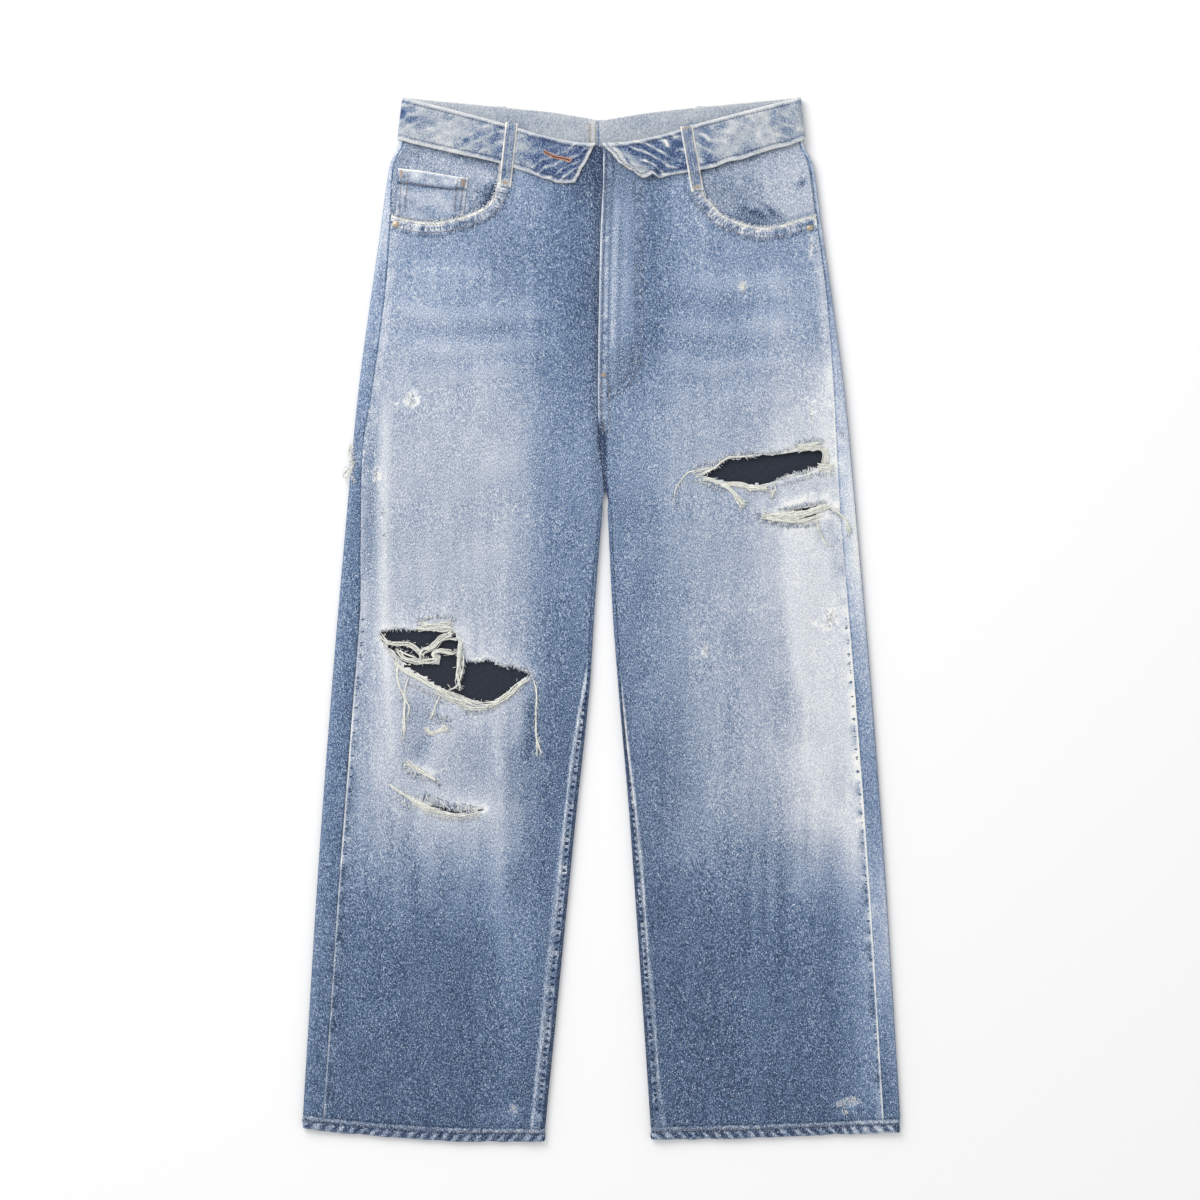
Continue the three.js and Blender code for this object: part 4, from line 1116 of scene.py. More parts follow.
def band_dye(side, out, down):
    x = side * out
    ridges = band_ridges(side, out, down)
    pale = 0.42 + 0.13 * noise(x, down, 12, 12, 111) + 0.13 * noise(x, down, 5, 5, 112) - 0.12 * ridges
    pale = pale + 0.4 * np.clip(noise(x, down, 17, 9, 115) - 0.3, 0, 1)
    deep = 1.2 + 0.28 * noise(x + down, down, 11, 9, 113) - (1.05 + 0.35 * noise(x, down, 6, 6, 116)) * ridges
    if side == RIGHT:
        mottled = 0.7 + 0.5 * noise(x, down, 7, 12, 117)
        blue = (1 - smooth(out, 44, 92)) * 0.95 + 0.85 * bump(out, 103, 7) * mottled
        blue = blue + 0.85 * bump(out, 194, 12) * bump(down, 18, 8)
        blue = blue + 0.35 * bump(out, 140, 6) * bump(down, 33, 4)
        blue = blue + 0.3 * bump(out, 120, 12) + 0.3 * np.clip(noise(x, down, 8, 6, 118), 0, 1)
    else:
        blue = smooth(out - 0.6 * down, 11, 23) * (1 - smooth(out, 86, 92)) + 0.6 * bump(out, 104, 6)
        blue = blue + 0.35 * bump(out, 110, 6) * bump(down, 36, 7) + 0.15 * bump(out, 180, 12)
    blue = np.clip(blue + 0.2 * noise(x, down, 9, 9, 114), 0, 1)
    dye_and_shading = pale * (1 - blue) + deep * blue
    frayed = np.maximum(bump(down, 0.8, 2.4), bump(down, CUFF - 0.6, 2.4))
    rolled = 4.0 if side == LEFT else 0.0
    frayed = np.maximum(frayed, 1 - smooth(out, FLAP_END + 2.2 + rolled, FLAP_END + 5.0 + 1.4 * rolled))
    stitched = bump(down, 4.6, 0.8) + bump(down, CUFF - 5.0, 0.8)
    if side == LEFT:
        stitched = stitched + 1.6 * bump(out, FLAP_END + 3.4, 0.8) + bump(out, FLAP_END + 11, 1.0)
    return np.clip(dye_and_shading * (1 - 0.9 * frayed) + 0.1 * frayed + 0.3 * stitched, 0, 1.45)


# ---------------------------------------------------------------- pockets
def resampled(points, count):
    """count even points along a polyline."""
    p = np.asarray(points, float)
    s = travelled(p)
    even = np.linspace(0, s[-1], count)
    return np.stack([np.interp(even, s, p[:, k]) for k in range(p.shape[1])], axis=1)


def ruled(first, second, columns):
    f = np.linspace(0, 1, columns)[None, :, None]
    return first[:, None, :] * (1 - f) + second[:, None, :] * f


FACING_TOP = TORSO_FRONT - CLOTH / 2 - 0.3
FACING_LAP = 16
# Creases of the left facing, drawn as painted shade
FACING_FOLDS = [[(160, 104), (168, 112), (182, 124)], [(140, 112), (156, 116), (168, 122)],
                [(196, 88), (204, 84)]]


def pocket_facing(name, side):
    lower = [(a - FACING_LAP / 2, b + FACING_LAP) for a, b in POCKET_CURVE[side][1:-1]]
    lower = [(POCKET_CURVE[side][0][0] - 4, 33), *lower, (198 + (side == LEFT) * 4, 138)]
    drops = np.linspace(3.5, 136, 20)
    side_edge = [(outline(d) - EDGE_WRAP - 0.6, d) for d in drops]
    upper = [(a, front_dip(a) + PANEL_TOP) for a in (96, 130, 160, 190)]
    a = resampled(spline(lower, 2), 66)
    b = resampled([*upper, *side_edge], 66)
    grid = ruled(a, b, 50)
    out, drop = grid[..., 0], grid[..., 1]
    x = side * out
    from_side = outline(drop) - EDGE_WRAP - out
    z = FACING_TOP + 1.1 * (1 - smooth(from_side, 0, 14)) + 0.25 * noise(x, drop, 18, 26, 121)
    band = distance_to_path(x, drop, pocket_opening(side))[0]
    z = z - 0.3 * (1 - smooth(band, 0, 10))
    dye_and_shading = 0.5 + 0.08 * noise(x, drop, 14, 18, 122) + 0.05 * noise(x, drop, 5, 40, 123)
    under_band = front_dip(out) + CUFF
    # painted shadow just below the waistband's lower edge
    dye_and_shading = dye_and_shading + 0.3 * (1 - smooth(drop - under_band, 2, 12)) * (1 - smooth(out, 130, 190))
    if side == RIGHT:
        dye_and_shading = dye_and_shading + 0.75 * bump(out, 108, 14) * smooth(drop, 80, 96) + 0.15 * bump(out, 200, 10)
    else:
        dye_and_shading = dye_and_shading + 0.22 * bump(out, 130, 22) * bump(drop, 96, 24) - 0.12 * smooth(out, 140, 190)
        # painted shade along the creases
        for fold in FACING_FOLDS:
            away, along = distance_to_path(x, drop, fold)
            dye_and_shading = dye_and_shading + 0.55 * bump(away, 0, 3.2) * bump(along, 0.5, 0.45)
        dye_and_shading = dye_and_shading + 0.34 * bump(out, 152, 22) * bump(drop, 122, 9)
    # painted shade beside the pocket opening, under the front's raised edge
    dye_and_shading = dye_and_shading + 0.22 * (1 - smooth(band, 0, 6))
    piece = cloth(name, np.stack([x, drop, z], axis=-1), dye_and_shading, LIGHT_CLOTH, [DENIM, DENIM_BACK])
    return finish_piece(piece, "denim", name)


def pocket_bag(name, side):
    turns = np.linspace(0, math.pi, 30)
    foot = np.stack([136 + 62 * np.cos(turns), 205 + 45 * np.sin(turns)], axis=1)
    top = np.stack([np.linspace(196, 78, 30), np.full(30, 118.5)], axis=1)
    grid = ruled(top, foot, 30)
    x, drop = side * grid[..., 0], grid[..., 1]
    z = 4.9 + 0.08 * noise(x, drop, 20, 20, 131)
    piece = cloth(name, np.stack([x, drop, z], axis=-1), 0 * x, 0.8, [POCKETING, POCKETING])
    return finish_piece(piece, "pocketing", name)


def coin_pocket():
    upper = spline([(-203, 71), (-180, 73.5), (-156, 77.5), (-133, 81)], 1)
    lower = spline([(-205, 118), (-197, 120.2), (-181, 123), (-161, 123), (-138, 118)], 1)
    grid = np.swapaxes(ruled(resampled(upper, 60), resampled(lower, 60), 34), 0, 1)
    x, drop = grid[..., 0], grid[..., 1]
    below = np.linspace(0, 1, 34)[:, None] + 0 * x
    z = FACING_TOP + 1.3 + 0.2 * noise(x, drop, 14, 10, 141) + 0.35 * (1 - smooth(below, 0.22, 0.3))
    z = z + 0.3 * noise(x, drop, 6, 9, 143) * bump(below, 0.14, 0.12)
    rim = np.minimum(x + 205 + 3 * (1 - below), -133 - 5 * below - x) / 2.0
    z = z - 0.5 * (1 - smooth(rim, 0, 1))
    outer = np.clip(-x - 190, 0, 20) / 16
    z = z + 0.5 * outer
    dye_and_shading = 0.47 + 0.16 * noise(x, drop, 9, 7, 142) + 0.55 * bump(below, 0.30, 0.03)
    dye_and_shading = dye_and_shading - 0.35 * (1 - smooth(rim, 0, 1.0))
    stitched = bump(rim, 2.0, 0.5) + bump(rim, 5.0, 0.5)
    dye_and_shading = dye_and_shading + stitched * (0.12 + 0.35 * noise(0 * x, drop, 1, 3.2, 144))
    dye_and_shading = dye_and_shading - 0.08 * (1 - smooth(below, 0.2, 0.26))
    dye_and_shading = dye_and_shading + 0.22 * noise(x, drop, 4, 7, 145) * bump(below, 0.14, 0.1) - 0.5 * bump(below, 0.0, 0.035)
    piece = cloth("coin_pocket", np.stack([x, drop, z], axis=-1), dye_and_shading, 1.0, [SEAM_DENIM, DENIM_BACK])
    return finish_piece(piece, "denim", "coin_pocket")


def back_pocket(name, side):
    left = resampled([(50, 152), (54, 268), (122, 300)], 60)
    right = resampled([(186, 146), (190, 262), (122.5, 300)], 60)
    grid = ruled(left, right, 50)
    out, drop = grid[..., 0], grid[..., 1]
    x = side * out
    rim = np.minimum(out - 50 - (drop - 150) / 29, 190 - out + (drop - 146) / 40)
    rim = np.minimum(rim, (302 - drop - abs(out - 122) * 0.5) * 0.88)
    top = drop - 152 + 6 * (out - 50) / 136
    dye_and_shading = back_dye(side, x, drop) + 0.06 + 0.08 * noise(x, drop, 9, 9, 151)
    dye_and_shading = dye_and_shading - 0.28 * (1 - smooth(rim, 0.6, 2.2)) + 0.2 * bump(rim, 3.0, 1.2) - 0.12 * bump(rim, 6, 2.0)
    gathers = noise(x, drop, 4, 7, 153) * bump(top, 7, 5)
    dye_and_shading = dye_and_shading - 0.22 * (1 - smooth(top, 1, 3)) + 0.25 * bump(top, 12, 1.6) + 0.1 * gathers
    z = 0.02 + 0.12 * np.clip(noise(x, drop, 30, 30, 152), 0, 1)
    piece = cloth(name, np.stack([x, drop, z], axis=-1), dye_and_shading, 1.1, [SEAM_DENIM, DENIM_BACK], up=False)
    return finish_piece(piece, "denim", name)


# ---------------------------------------------------------------- fly parts under the fronts
def under_part(name, left, right, dye_and_shading, thickness, slot, materials):
    grid = ruled(resampled(left, 60), resampled(right, 60), 12)
    x, drop = grid[..., 0], grid[..., 1]
    z = 6.25 + 0.04 * noise(x, drop, 12, 12, 161)
    piece = cloth(name, np.stack([x, drop, z], axis=-1), dye_and_shading + 0 * x, thickness, materials)
    return finish_piece(piece, slot, name)


# ---------------------------------------------------------------- belt loops
LOOP_WIDTH = 12.5


def belt_loop(name, top, bottom, step, base, above):
    """A loop from top to bottom as (x, drop), lying over the band for its first "step" millimetres."""
    top, bottom = np.asarray(top, float), np.asarray(bottom, float)
    length = np.linalg.norm(bottom - top)
    d = (bottom - top) / length
    along = np.concatenate([np.linspace(0, step, 24), np.linspace(step, length, 16)[1:]])
    across = np.linspace(-LOOP_WIDTH / 2, LOOP_WIDTH / 2, 17)
    x = top[0] + d[0] * along[:, None] - d[1] * across[None, :]
    drop = top[1] + d[1] * along[:, None] + d[0] * across[None, :]
    over = (1 - smooth(along, step, step + 4))[:, None]
    edge = LOOP_WIDTH / 2 - np.abs(across)[None, :]
    profile = 0.35 * bump(edge, 2.6, 1.2) + 0.3 * bump(edge, 6.3, 2.2) - 0.7 * (1 - smooth(edge, 0, 0.9))
    rough = 0.25 * noise(x, drop, 5, 6, 171)
    swell = np.maximum(profile + rough, -0.8)
    lifted = base + over * (BAND + 0.3) + CLOTH + (swell if above > 0 else np.minimum(swell, 0))
    z = lifted if above > 0 else 2 * base - lifted
    groove = bump(edge, 4.6, 0.8) + 0.7 * bump(edge, 2.3, 0.6)
    dye_and_shading = 0.62 + 0.3 * groove + 0.22 * noise(x, drop, 2.4, 6, 172) - 0.62 * (1 - smooth(edge, 1.0, 2.0))
    ends = bump(along, 0, 4)[:, None] + bump(along, length - 2, 4)[:, None]
    dye_and_shading = dye_and_shading - 0.3 * ends
    piece = cloth(name, np.stack([x, drop, z], axis=-1), dye_and_shading, 1.1, [BAND_CLOTH, DENIM_BACK], up=above > 0)
    return finish_piece(piece, "denim", name)


# ---------------------------------------------------------------- hems
def hem(name, side):
    low, high = HEM / 2, float(edge_height(HEM_DROP))
    radius = (high - low) / 2
    inner = inner_edge[side](HEM_DROP) + HEM / 2 + radius
    outer = outline(HEM_DROP) - HEM / 2 - radius
    top_out = np.linspace(inner, outer, 150)
    bends = np.linspace(0, math.pi, 12)[1:-1]
    round_out, round_up = radius * np.sin(bends), radius * np.cos(bends)
    ring_out = np.concatenate([top_out, outer + round_out, top_out[::-1], inner - round_out])
    turn = np.concatenate([0 * top_out, bends, 0 * top_out + math.pi, math.pi + bends])
    top_middle = front_middle(side, top_out, np.full(len(top_out), float(HEM_DROP)))
    half_way = (low + high) / 2
    middle = np.concatenate([top_middle, half_way + round_up, 0 * top_out + low, half_way - round_up])
    h = HEM / 2
    down = np.array([-0.5, 0.2, 0.9, 2, 3.5, 5, 6.5, 8, 9.5, 10.8, 11.9, 12.7, 13, 12.7, 11.9, 9, 5, 1, 0.2])
    offset = np.array([0.35, 0.7, 0.95] + [h] * 7 + [0.95, 0.6, 0, -0.6, -1, -h, -h, -h, -0.7])
    around = travelled(np.stack([ring_out, middle], axis=1))[:, None]
    d = down[None, :]
    roping = np.sin(2 * math.pi * (around - 0.8 * d) / 11.5 + 1.6 * noise(around, 0 * around, 30, 1, 181))
    outside = (np.arange(len(down)) < 13)[None, :]
    swell = 0.5 * roping * bump(d, 6.5, 4.5) * outside + 0.25 * noise(around, d, 5, 4, 182) * outside
    on_floor = np.where(turn[:, None] == math.pi, np.minimum(swell, 0) - 0.05, swell)
    out = ring_out[:, None] + np.sin(turn)[:, None] * (offset[None, :] + on_floor)
    z = middle[:, None] + np.cos(turn)[:, None] * (offset[None, :] + on_floor)
    ripple = 0.7 * noise(around, 0 * around, 13, 1, 183) * smooth(d, 8, 13)
    drop = HEM_DROP + 0.3 + hem_tilt[side](ring_out)[:, None] + d + ripple
    x = side * out
    in_front = (turn == 0)[:, None]
    dye_and_shading = np.where(in_front, front_dye_and_shading(side, x, drop), back_dye(side, x, drop))
    roped = np.tanh(1.8 * (roping + 0.6 * noise(around, d, 6, 30, 185)))
    dye_and_shading = dye_and_shading - 0.1 * bump(d, 8.6, 4) + 0.5 * roped * bump(d, 8.6, 4.2) + 0.1 * noise(x, drop, 4, 4, 184)
    dye_and_shading = dye_and_shading - 0.32 * bump(d, 13, 1.3) + 0.42 * bump(d, 4.6, 0.9)
    dye_and_shading = dye_and_shading - (0.4 + 0.2 * noise(around - 1.5 * d, 0 * around, 2.6, 1, 186)) * bump(d, 2.0, 1.9)
    points = np.stack([x, drop, z], axis=-1)
    rows, columns = points.shape[:2]
    start, last = np.arange(columns), (rows - 1) * columns
    follow = (start + 1) % columns
    joining = np.stack([last + start, last + follow, follow, start], axis=1)
    faces = np.concatenate([grid_faces(rows, columns, True), joining])
    verts = to_world(points.reshape(-1, 3))
    if signed_volume(verts, faces) < 0:
        faces = faces[:, ::-1]
    piece = make(name, verts, faces, [DENIM], dye_and_shading)
    return finish_piece(piece, "denim", name)


def signed_volume(verts, faces):
    a, b, c, d = (verts[faces[:, k]] for k in range(4))
    return (np.einsum("ij,ij->i", a, np.cross(b, c)) + np.einsum("ij,ij->i", a, np.cross(c, d))).sum()


# ---------------------------------------------------------------- metal
def stud(name, slot, x, drop, bottom, profile, material, segments=32):
    """A turned part from (radius, height) pairs."""
    turns = np.linspace(0, 2 * math.pi, segments, endpoint=False)
    radius = np.array([r for r, _ in profile])[:, None]
    height = np.array([h for _, h in profile])[:, None]
    across, along = x + radius * np.cos(turns), drop + radius * np.sin(turns)
    points = np.stack([across, along, bottom + height + 0 * turns], axis=-1)
    verts = to_world(points.reshape(-1, 3))
    faces = grid_faces(len(profile), segments, True)
    if signed_volume(verts, faces) < 0:
        faces = faces[:, ::-1]
    return finish_piece(make(name, verts, faces, [material]), slot, name)


# ---------------------------------------------------------------- backing behind the rips
def backing(name, low_x, high_x, low_drop, high_drop, z):
    grid = ruled(resampled([(low_x, low_drop), (low_x, high_drop)], 60),
                 resampled([(high_x, low_drop), (high_x, high_drop)], 60), 50)
    x, drop = grid[..., 0], grid[..., 1]
    height = z + 0.2 * noise(x, drop, 30, 40, 191)
    piece = cloth(name, np.stack([x, drop, height], axis=-1), 0 * x, 1.0, [BACKING_AND_SLIT_SHADE, BACKING_AND_SLIT_SHADE])
    return finish_piece(piece, "backing", name)


def build_cloth():
    rows = np.arange(YOKE_DROP + 0.0, HEM_DROP + 0.1, (HEM_DROP - YOKE_DROP) / 240)
    yoke_rows = np.linspace(PANEL_TOP - 2.2, YOKE_DROP, 30)
    for word, side in SIDES.items():
        front_piece(f"front_{word}", side)
    for word, side in SIDES.items():
        back_piece(f"back_{word}", side, rows)
        back_piece(f"yoke_{word}", side, yoke_rows)
        waistband(f"waistband_{word}", side)
        pocket_facing(f"pocket_facing_{word}", side)
        pocket_bag(f"pocket_bag_{word}", side)
        back_pocket(f"back_pocket_{word}", side)
        hem(f"hem_{word}", side)
    coin_pocket()
    fly_end = FLY_LENGTH - 7
    denims = [DENIM, DENIM_BACK]
    under_part("fly_facing", [(8.3, 55), (8.3, fly_end)], [(35.5, 55), (35.5, 236), (27, 264), (9, fly_end)],
               0.8, 0.9, "denim", denims)
    under_part("zip_tape", [(-7.2, 55), (-7.2, fly_end)], [(7.4, 55), (7.4, fly_end)],
               0, 0.9, "zip", [ZIP_TAPE, ZIP_TAPE])
    under_part("fly_shield", [(-31.5, 55), (-31.5, 262), (-8.2, fly_end)], [(-8.2, 55), (-8.1, fly_end)],
               0.8, 0.9, "denim", denims)
    base = TORSO_FRONT + CLOTH / 2 + 0.3
    belt_loop("belt_loop_front_right", (-89.5, 26), (-96.5, 90), 46, base, 1)
    belt_loop("belt_loop_front_left", (84.5, 29), (96, 94), 46, base, 1)
    for word, x in (("right", -100), ("centre", 0), ("left", 100)):
        top = float(back_dip(abs(x))) - 1
        belt_loop(f"belt_loop_back_{word}", (x, top), (x, top + 56), 46, WAIST_BACK - CLOTH / 2 - 0.3, -1)
    cap = [(0.01, 1.2), (1.2, 1.2), (2.2, 1.0), (2.4, 0.7), (2.9, 0.8), (3.4, 0.5), (3.5, 0.2), (3.5, 0),
           (0.01, 0)]
    stud("rivet_right", "rivet", -205, 127, base, cap, BRASS)
    stud("rivet_left", "rivet", 208, 130, base, cap, BRASS)
    face = [(0.01, 1.7), (4.6, 1.7), (5.6, 1.9), (6.3, 2.3), (7.2, 2.4), (8.1, 2.0), (8.5, 1.3), (8.2, 0.5),
            (6, 0), (0.01, 0)]
    stud("button", "button", 29, 64, base, face, BRASS, 48)
    backing("rip_backing_right", -236, -42, 506, 734, 2.4)
    backing("rip_backing_left", 79, 238, 336, 449, 3.7)


build_cloth()


# ---------------------------------------------------------------- stitches, threads, fringe and painted pucker shade
def tubes(paths, radii, sides):
    """Vertices and faces of thin closed tubes along (n, 3) paths of (x, drop, z)."""
    verts, faces, start = [], [], 0
    turns = np.linspace(0, 2 * math.pi, sides, endpoint=False)
    for path, radius in zip(paths, radii):
        path = np.asarray(path, float)
        n = len(path)
        tangent = directions(path)
        across = np.cross(tangent, [0.05, 0.03, 1.0])
        across /= np.maximum(np.linalg.norm(across, axis=1), 1e-9)[:, None]
        upward = np.cross(across, tangent)
        size = np.full(n, radius)
        size[[0, -1]] *= 0.45
        circle = (np.cos(turns)[None, :, None] * across[:, None, :]
                  + np.sin(turns)[None, :, None] * upward[:, None, :])
        ring = path[:, None, :] + size[:, None, None] * circle
        verts.append(ring.reshape(-1, 3))
        a = start + (np.arange(n - 1)[:, None] * sides + np.arange(sides)).ravel()
        b = start + (np.arange(n - 1)[:, None] * sides + (np.arange(sides) + 1) % sides).ravel()
        faces.extend(np.stack([b, a, a + sides, b + sides], axis=1).tolist())
        faces.append([start + k for k in range(sides)])
        faces.append([start + (n - 1) * sides + k for k in range(sides)][::-1])
        start += n * sides
    return np.vstack(verts), faces


def strands(name, slot, paths, radii, material, dyes_and_shading=None, sides=5):
    verts, faces = tubes(paths, radii, sides)
    dye_and_shading = None
    if dyes_and_shading is not None:
        dye_and_shading = np.concatenate([np.full(len(p) * sides, d) for p, d in zip(paths, dyes_and_shading)])
    piece = make(name, to_world(verts), faces, [material], dye_and_shading)
    return finish_piece(piece, slot)


def stitch_spans(route, pitch, fill):
    """Five points along each stitch of a row that follows a route."""
    line = spline(route, 0.5)
    s = travelled(line)
    for start in np.arange(0.4, s[-1] - pitch * fill, pitch):
        at = start + pitch * fill * np.array([0, 0.2, 0.5, 0.8, 1.0])
        yield np.interp(at, s, line[:, 0]), np.interp(at, s, line[:, 1])


def stitch_row(route, height, pitch, fill=0.72, sink=0.12, facing=1):
    """Short stitches along a route of (x, drop) points lying on height(x, drop); facing: 1 up, -1 down."""
    arch = np.array([-0.25, 0.05, 0.16, 0.05, -0.25]) - sink + 0.2
    return [np.stack([x, drop, np.asarray(height(x, drop), float) + facing * arch], axis=1)
            for x, drop in stitch_spans(route, pitch, fill)]


def beside(route, inset, step=1.5):
    """A curve beside a route of (x, drop) points, to its left by "inset"."""
    line = spline(route, step)
    tangent = directions(line)
    return line + inset * np.stack([tangent[:, 1], -tangent[:, 0]], axis=1)


def band_spot(side, out, down):
    """(x, drop, z) of a spot on the turned-down band's outer face."""
    stray, hang = band_warp(side, out, down)
    x = side * (out + (band_slant(out) + band_widen(out)) * down / CUFF + stray)
    z = BAND_FRONT + BAND / 2 + button_lift(side, out) + band_relief(side, out, down)
    return x, front_dip(out) + down + hang, z


def band_stitches(side, outs, downs):
    """Stitches along a route of (out, down) on the band."""
    arch = np.array([-0.2, 0.1, 0.22, 0.1, -0.2])
    paths = []
    for out, down in stitch_spans(np.stack([outs, downs], axis=1), 3.4, 0.72):
        x, drop, z = band_spot(side, out, down)
        paths.append(np.stack([x, drop, z + arch], axis=1))
    return paths


def stitch_pockets_and_fly(groups):
    for side in (RIGHT, LEFT):
        inset = 1 if side == RIGHT else -1
        for distance in (2.9, 10.8):
            route = beside(pocket_opening(side), inset * distance)
            groups["ochre"] += stitch_row(route[route[:, 1] > 84 + distance], on_front, 3.2)
    # fly: row beside the folded edge, the curved double row, and the felled rise below it
    groups["grey"] += stitch_row([(5.3, 62), (3.6, 120), (1.9, 190), (0, 300)], on_front, 3.0)
    for distance in (-3.4, 3.4):
        groups["grey"] += stitch_row(beside(FLY_CURVE, distance), on_front, 3.0)
    for inset in (3.2, 10.0):
        rise = [(-3.6 + inset, 284), (-2.6 + inset, 310), (-1.6 + inset, 336)]
        groups["ochre"] += stitch_row(rise, on_front, 2.6)


def stitch_leg_and_band(groups, side):
    """Inseam, hem, and the waistband's rows near both edges and across its end."""
    drops = np.linspace(600, 1012, 40)
    route = np.stack([side * (inner_edge[side](drops) + 0.72 * INSEAM_WIDTH[side](drops)), drops], axis=1)
    groups["grey"] += stitch_row(route, on_front, 3.6)
    outs = np.linspace(inner_edge[side](HEM_DROP) + 3, outline(HEM_DROP) - 3, 40)
    route = np.stack([side * outs, HEM_DROP + 4.4 + hem_tilt[side](outs)], axis=1)

    def hem_top(x, drop):
        return front_middle(side, side * x, 0 * drop + HEM_DROP) + HEM / 2 + 0.1

    inner_third = outs < outs[0] + 95
    groups["ochre"] += stitch_row(route[inner_third], hem_top, 3.6)
    groups["grey"] += stitch_row(route[~inner_third], hem_top, 3.6)
    outs = np.linspace(FLAP_END + 5, 190, 80)
    groups["umber"] += band_stitches(side, outs, 0 * outs + 4.6)
    groups["umber"] += band_stitches(side, outs, 0 * outs + CUFF - 5.0)
    groups["umber"] += band_stitches(side, np.full(12, FLAP_END + 5.0), np.linspace(5, CUFF - 5.5, 12))


def flat_height(height):
    """The same height everywhere."""
    return lambda x, drop: height + 0 * x


def stitch_backs(groups):
    """Centre back seam inside the waist, and underneath the yoke seam, patch pockets and centre seam."""
    inside_yoke = flat_height(WAIST_BACK + CLOTH / 2 + 0.05)
    for x in (-12.8, -11.2, -6.4):
        groups["bartack"] += stitch_row([(x, 25.5), (x, 64)], inside_yoke, 2.6, 0.85, 0.0)

    def under_back(x, drop):
        return back_height(drop) - CLOTH / 2 + 0.1 + 0 * x

    for side in (RIGHT, LEFT):
        for inset in (2.0, 8.0):
            outs = np.linspace(4, 196, 40)
            route = np.stack([side * outs, YOKE_DROP + yoke_dip(outs) + inset], axis=1)
            groups["ochre"] += stitch_row(route, under_back, 3.6, facing=-1)
        for inset in (2.5, 8.5):
            patch = [(52 + inset, 154), (56 + inset, 266 - 0.4 * inset), (122, 299 - inset),
                     (188 - inset, 261 - 0.4 * inset), (184 - inset, 148)]
            route = np.concatenate([ruled(np.array([a], float), np.array([b], float), 30)[0]
                                    for a, b in zip(patch[:-1], patch[1:])])
            route = route * np.array([side, 1])
            groups["ochre"] += stitch_row(route, flat_height(0.2), 3.6, sink=0.2, facing=-1)
    for inset in (2.5, 8.5):
        seam = [(-inset, 112), (-inset, 240), (3.8 - inset, 380)]
        groups["ochre"] += stitch_row(seam, under_back, 3.6, facing=-1)


def stitch_front_loop(groups, a, b, tacks):
    """Two rows along a loop, and bartacks as (distance along it, stitches)."""
    a, b = np.array(a, float), np.array(b, float)
    d = (b - a) / np.linalg.norm(b - a)
    across = np.array([-d[1], d[0]])

    def loop_top(x, drop):
        along = (x - a[0]) * d[0] + (drop - a[1]) * d[1]
        over = (1 - smooth(along, 46, 50)) * (BAND + 0.3)
        return TORSO_FRONT + CLOTH / 2 + 0.3 + CLOTH + over + 0.05

    for shift in (-4.3, 4.3):
        groups["ochre"] += stitch_row([a + d + across * shift, b - d + across * shift], loop_top, 3.0)
    for along, count in [(np.linalg.norm(b - a) - 4, 4), *tacks]:
        for k in range(count):
            middle = a + d * (along + 0.7 * k - 1.5)
            tack = [middle - across * 3.4, middle + across * 3.4]
            groups["bartack"] += stitch_row(tack, loop_top, 6.6, 0.96, 0.0)


def stitch_coin_pocket(groups):
    coin_top = flat_height(FACING_TOP + 1.75)
    groups["ochre"] += stitch_row([(-201, 84.5), (-170, 89), (-136, 93)], coin_top, 3.0)
    for x, end in ((-199.5, -202), (-193.5, -196), (-144, -147), (-138, -141.5)):
        groups["ochre"] += stitch_row([(x, 74 + (x + 203) / 7), (end, 116)], coin_top, 3.0)
    for x in (-200, -138.5):
        for k in range(7):
            edge = 72.5 + (x + 203) / 7 + 1.1 * k
            tack = [(x - 2.4, edge), (x + 2.8, edge + 0.6)]
            groups["bartack"] += stitch_row(tack, coin_top, 5.0, 0.96, -0.1)


def stitch_buttonhole(groups):
    """A keyhole worked with close stitches in the right-hand end of the waistband."""
    slit = spline([(56, 15.7), (49.6, 17.4), (41, 18.4), (33.5, 18.0), (24.6, 18.5)], 0.7)
    tangent = directions(slit)
    across = np.stack([-tangent[:, 1], tangent[:, 0]], axis=1)
    worked = []
    for sign in (-1, 1):
        for p, n in zip(slit[:-2], across[:-2]):
            worked.append(np.stack([p + sign * n * 0.5, p + sign * n * 1.1, p + sign * n * 1.8]))
    for turn in np.linspace(-0.8 * math.pi, 0.8 * math.pi, 26):
        ray = np.array([-math.cos(turn), math.sin(turn)])
        worked.append(np.stack([slit[-1] + ray * 1.2, slit[-1] + ray * 1.9, slit[-1] + ray * 2.6]))
    for path in worked:
        x, drop, z = band_spot(RIGHT, path[:, 0], path[:, 1])
        groups["orange"].append(np.stack([x, drop, z + np.array([0.0, 0.45, 0.05])], axis=1))
    # a dark tube sunk in the slit is painted shade inside the buttonhole
    x, drop, z = band_spot(RIGHT, slit[:, 0], slit[:, 1])
    slit_shade = [np.stack([x, drop, z - 0.35], axis=1)]
    strands("buttonhole_slit_shade", "waistband_denim", slit_shade, [0.65], BACKING_AND_SLIT_SHADE, sides=8)


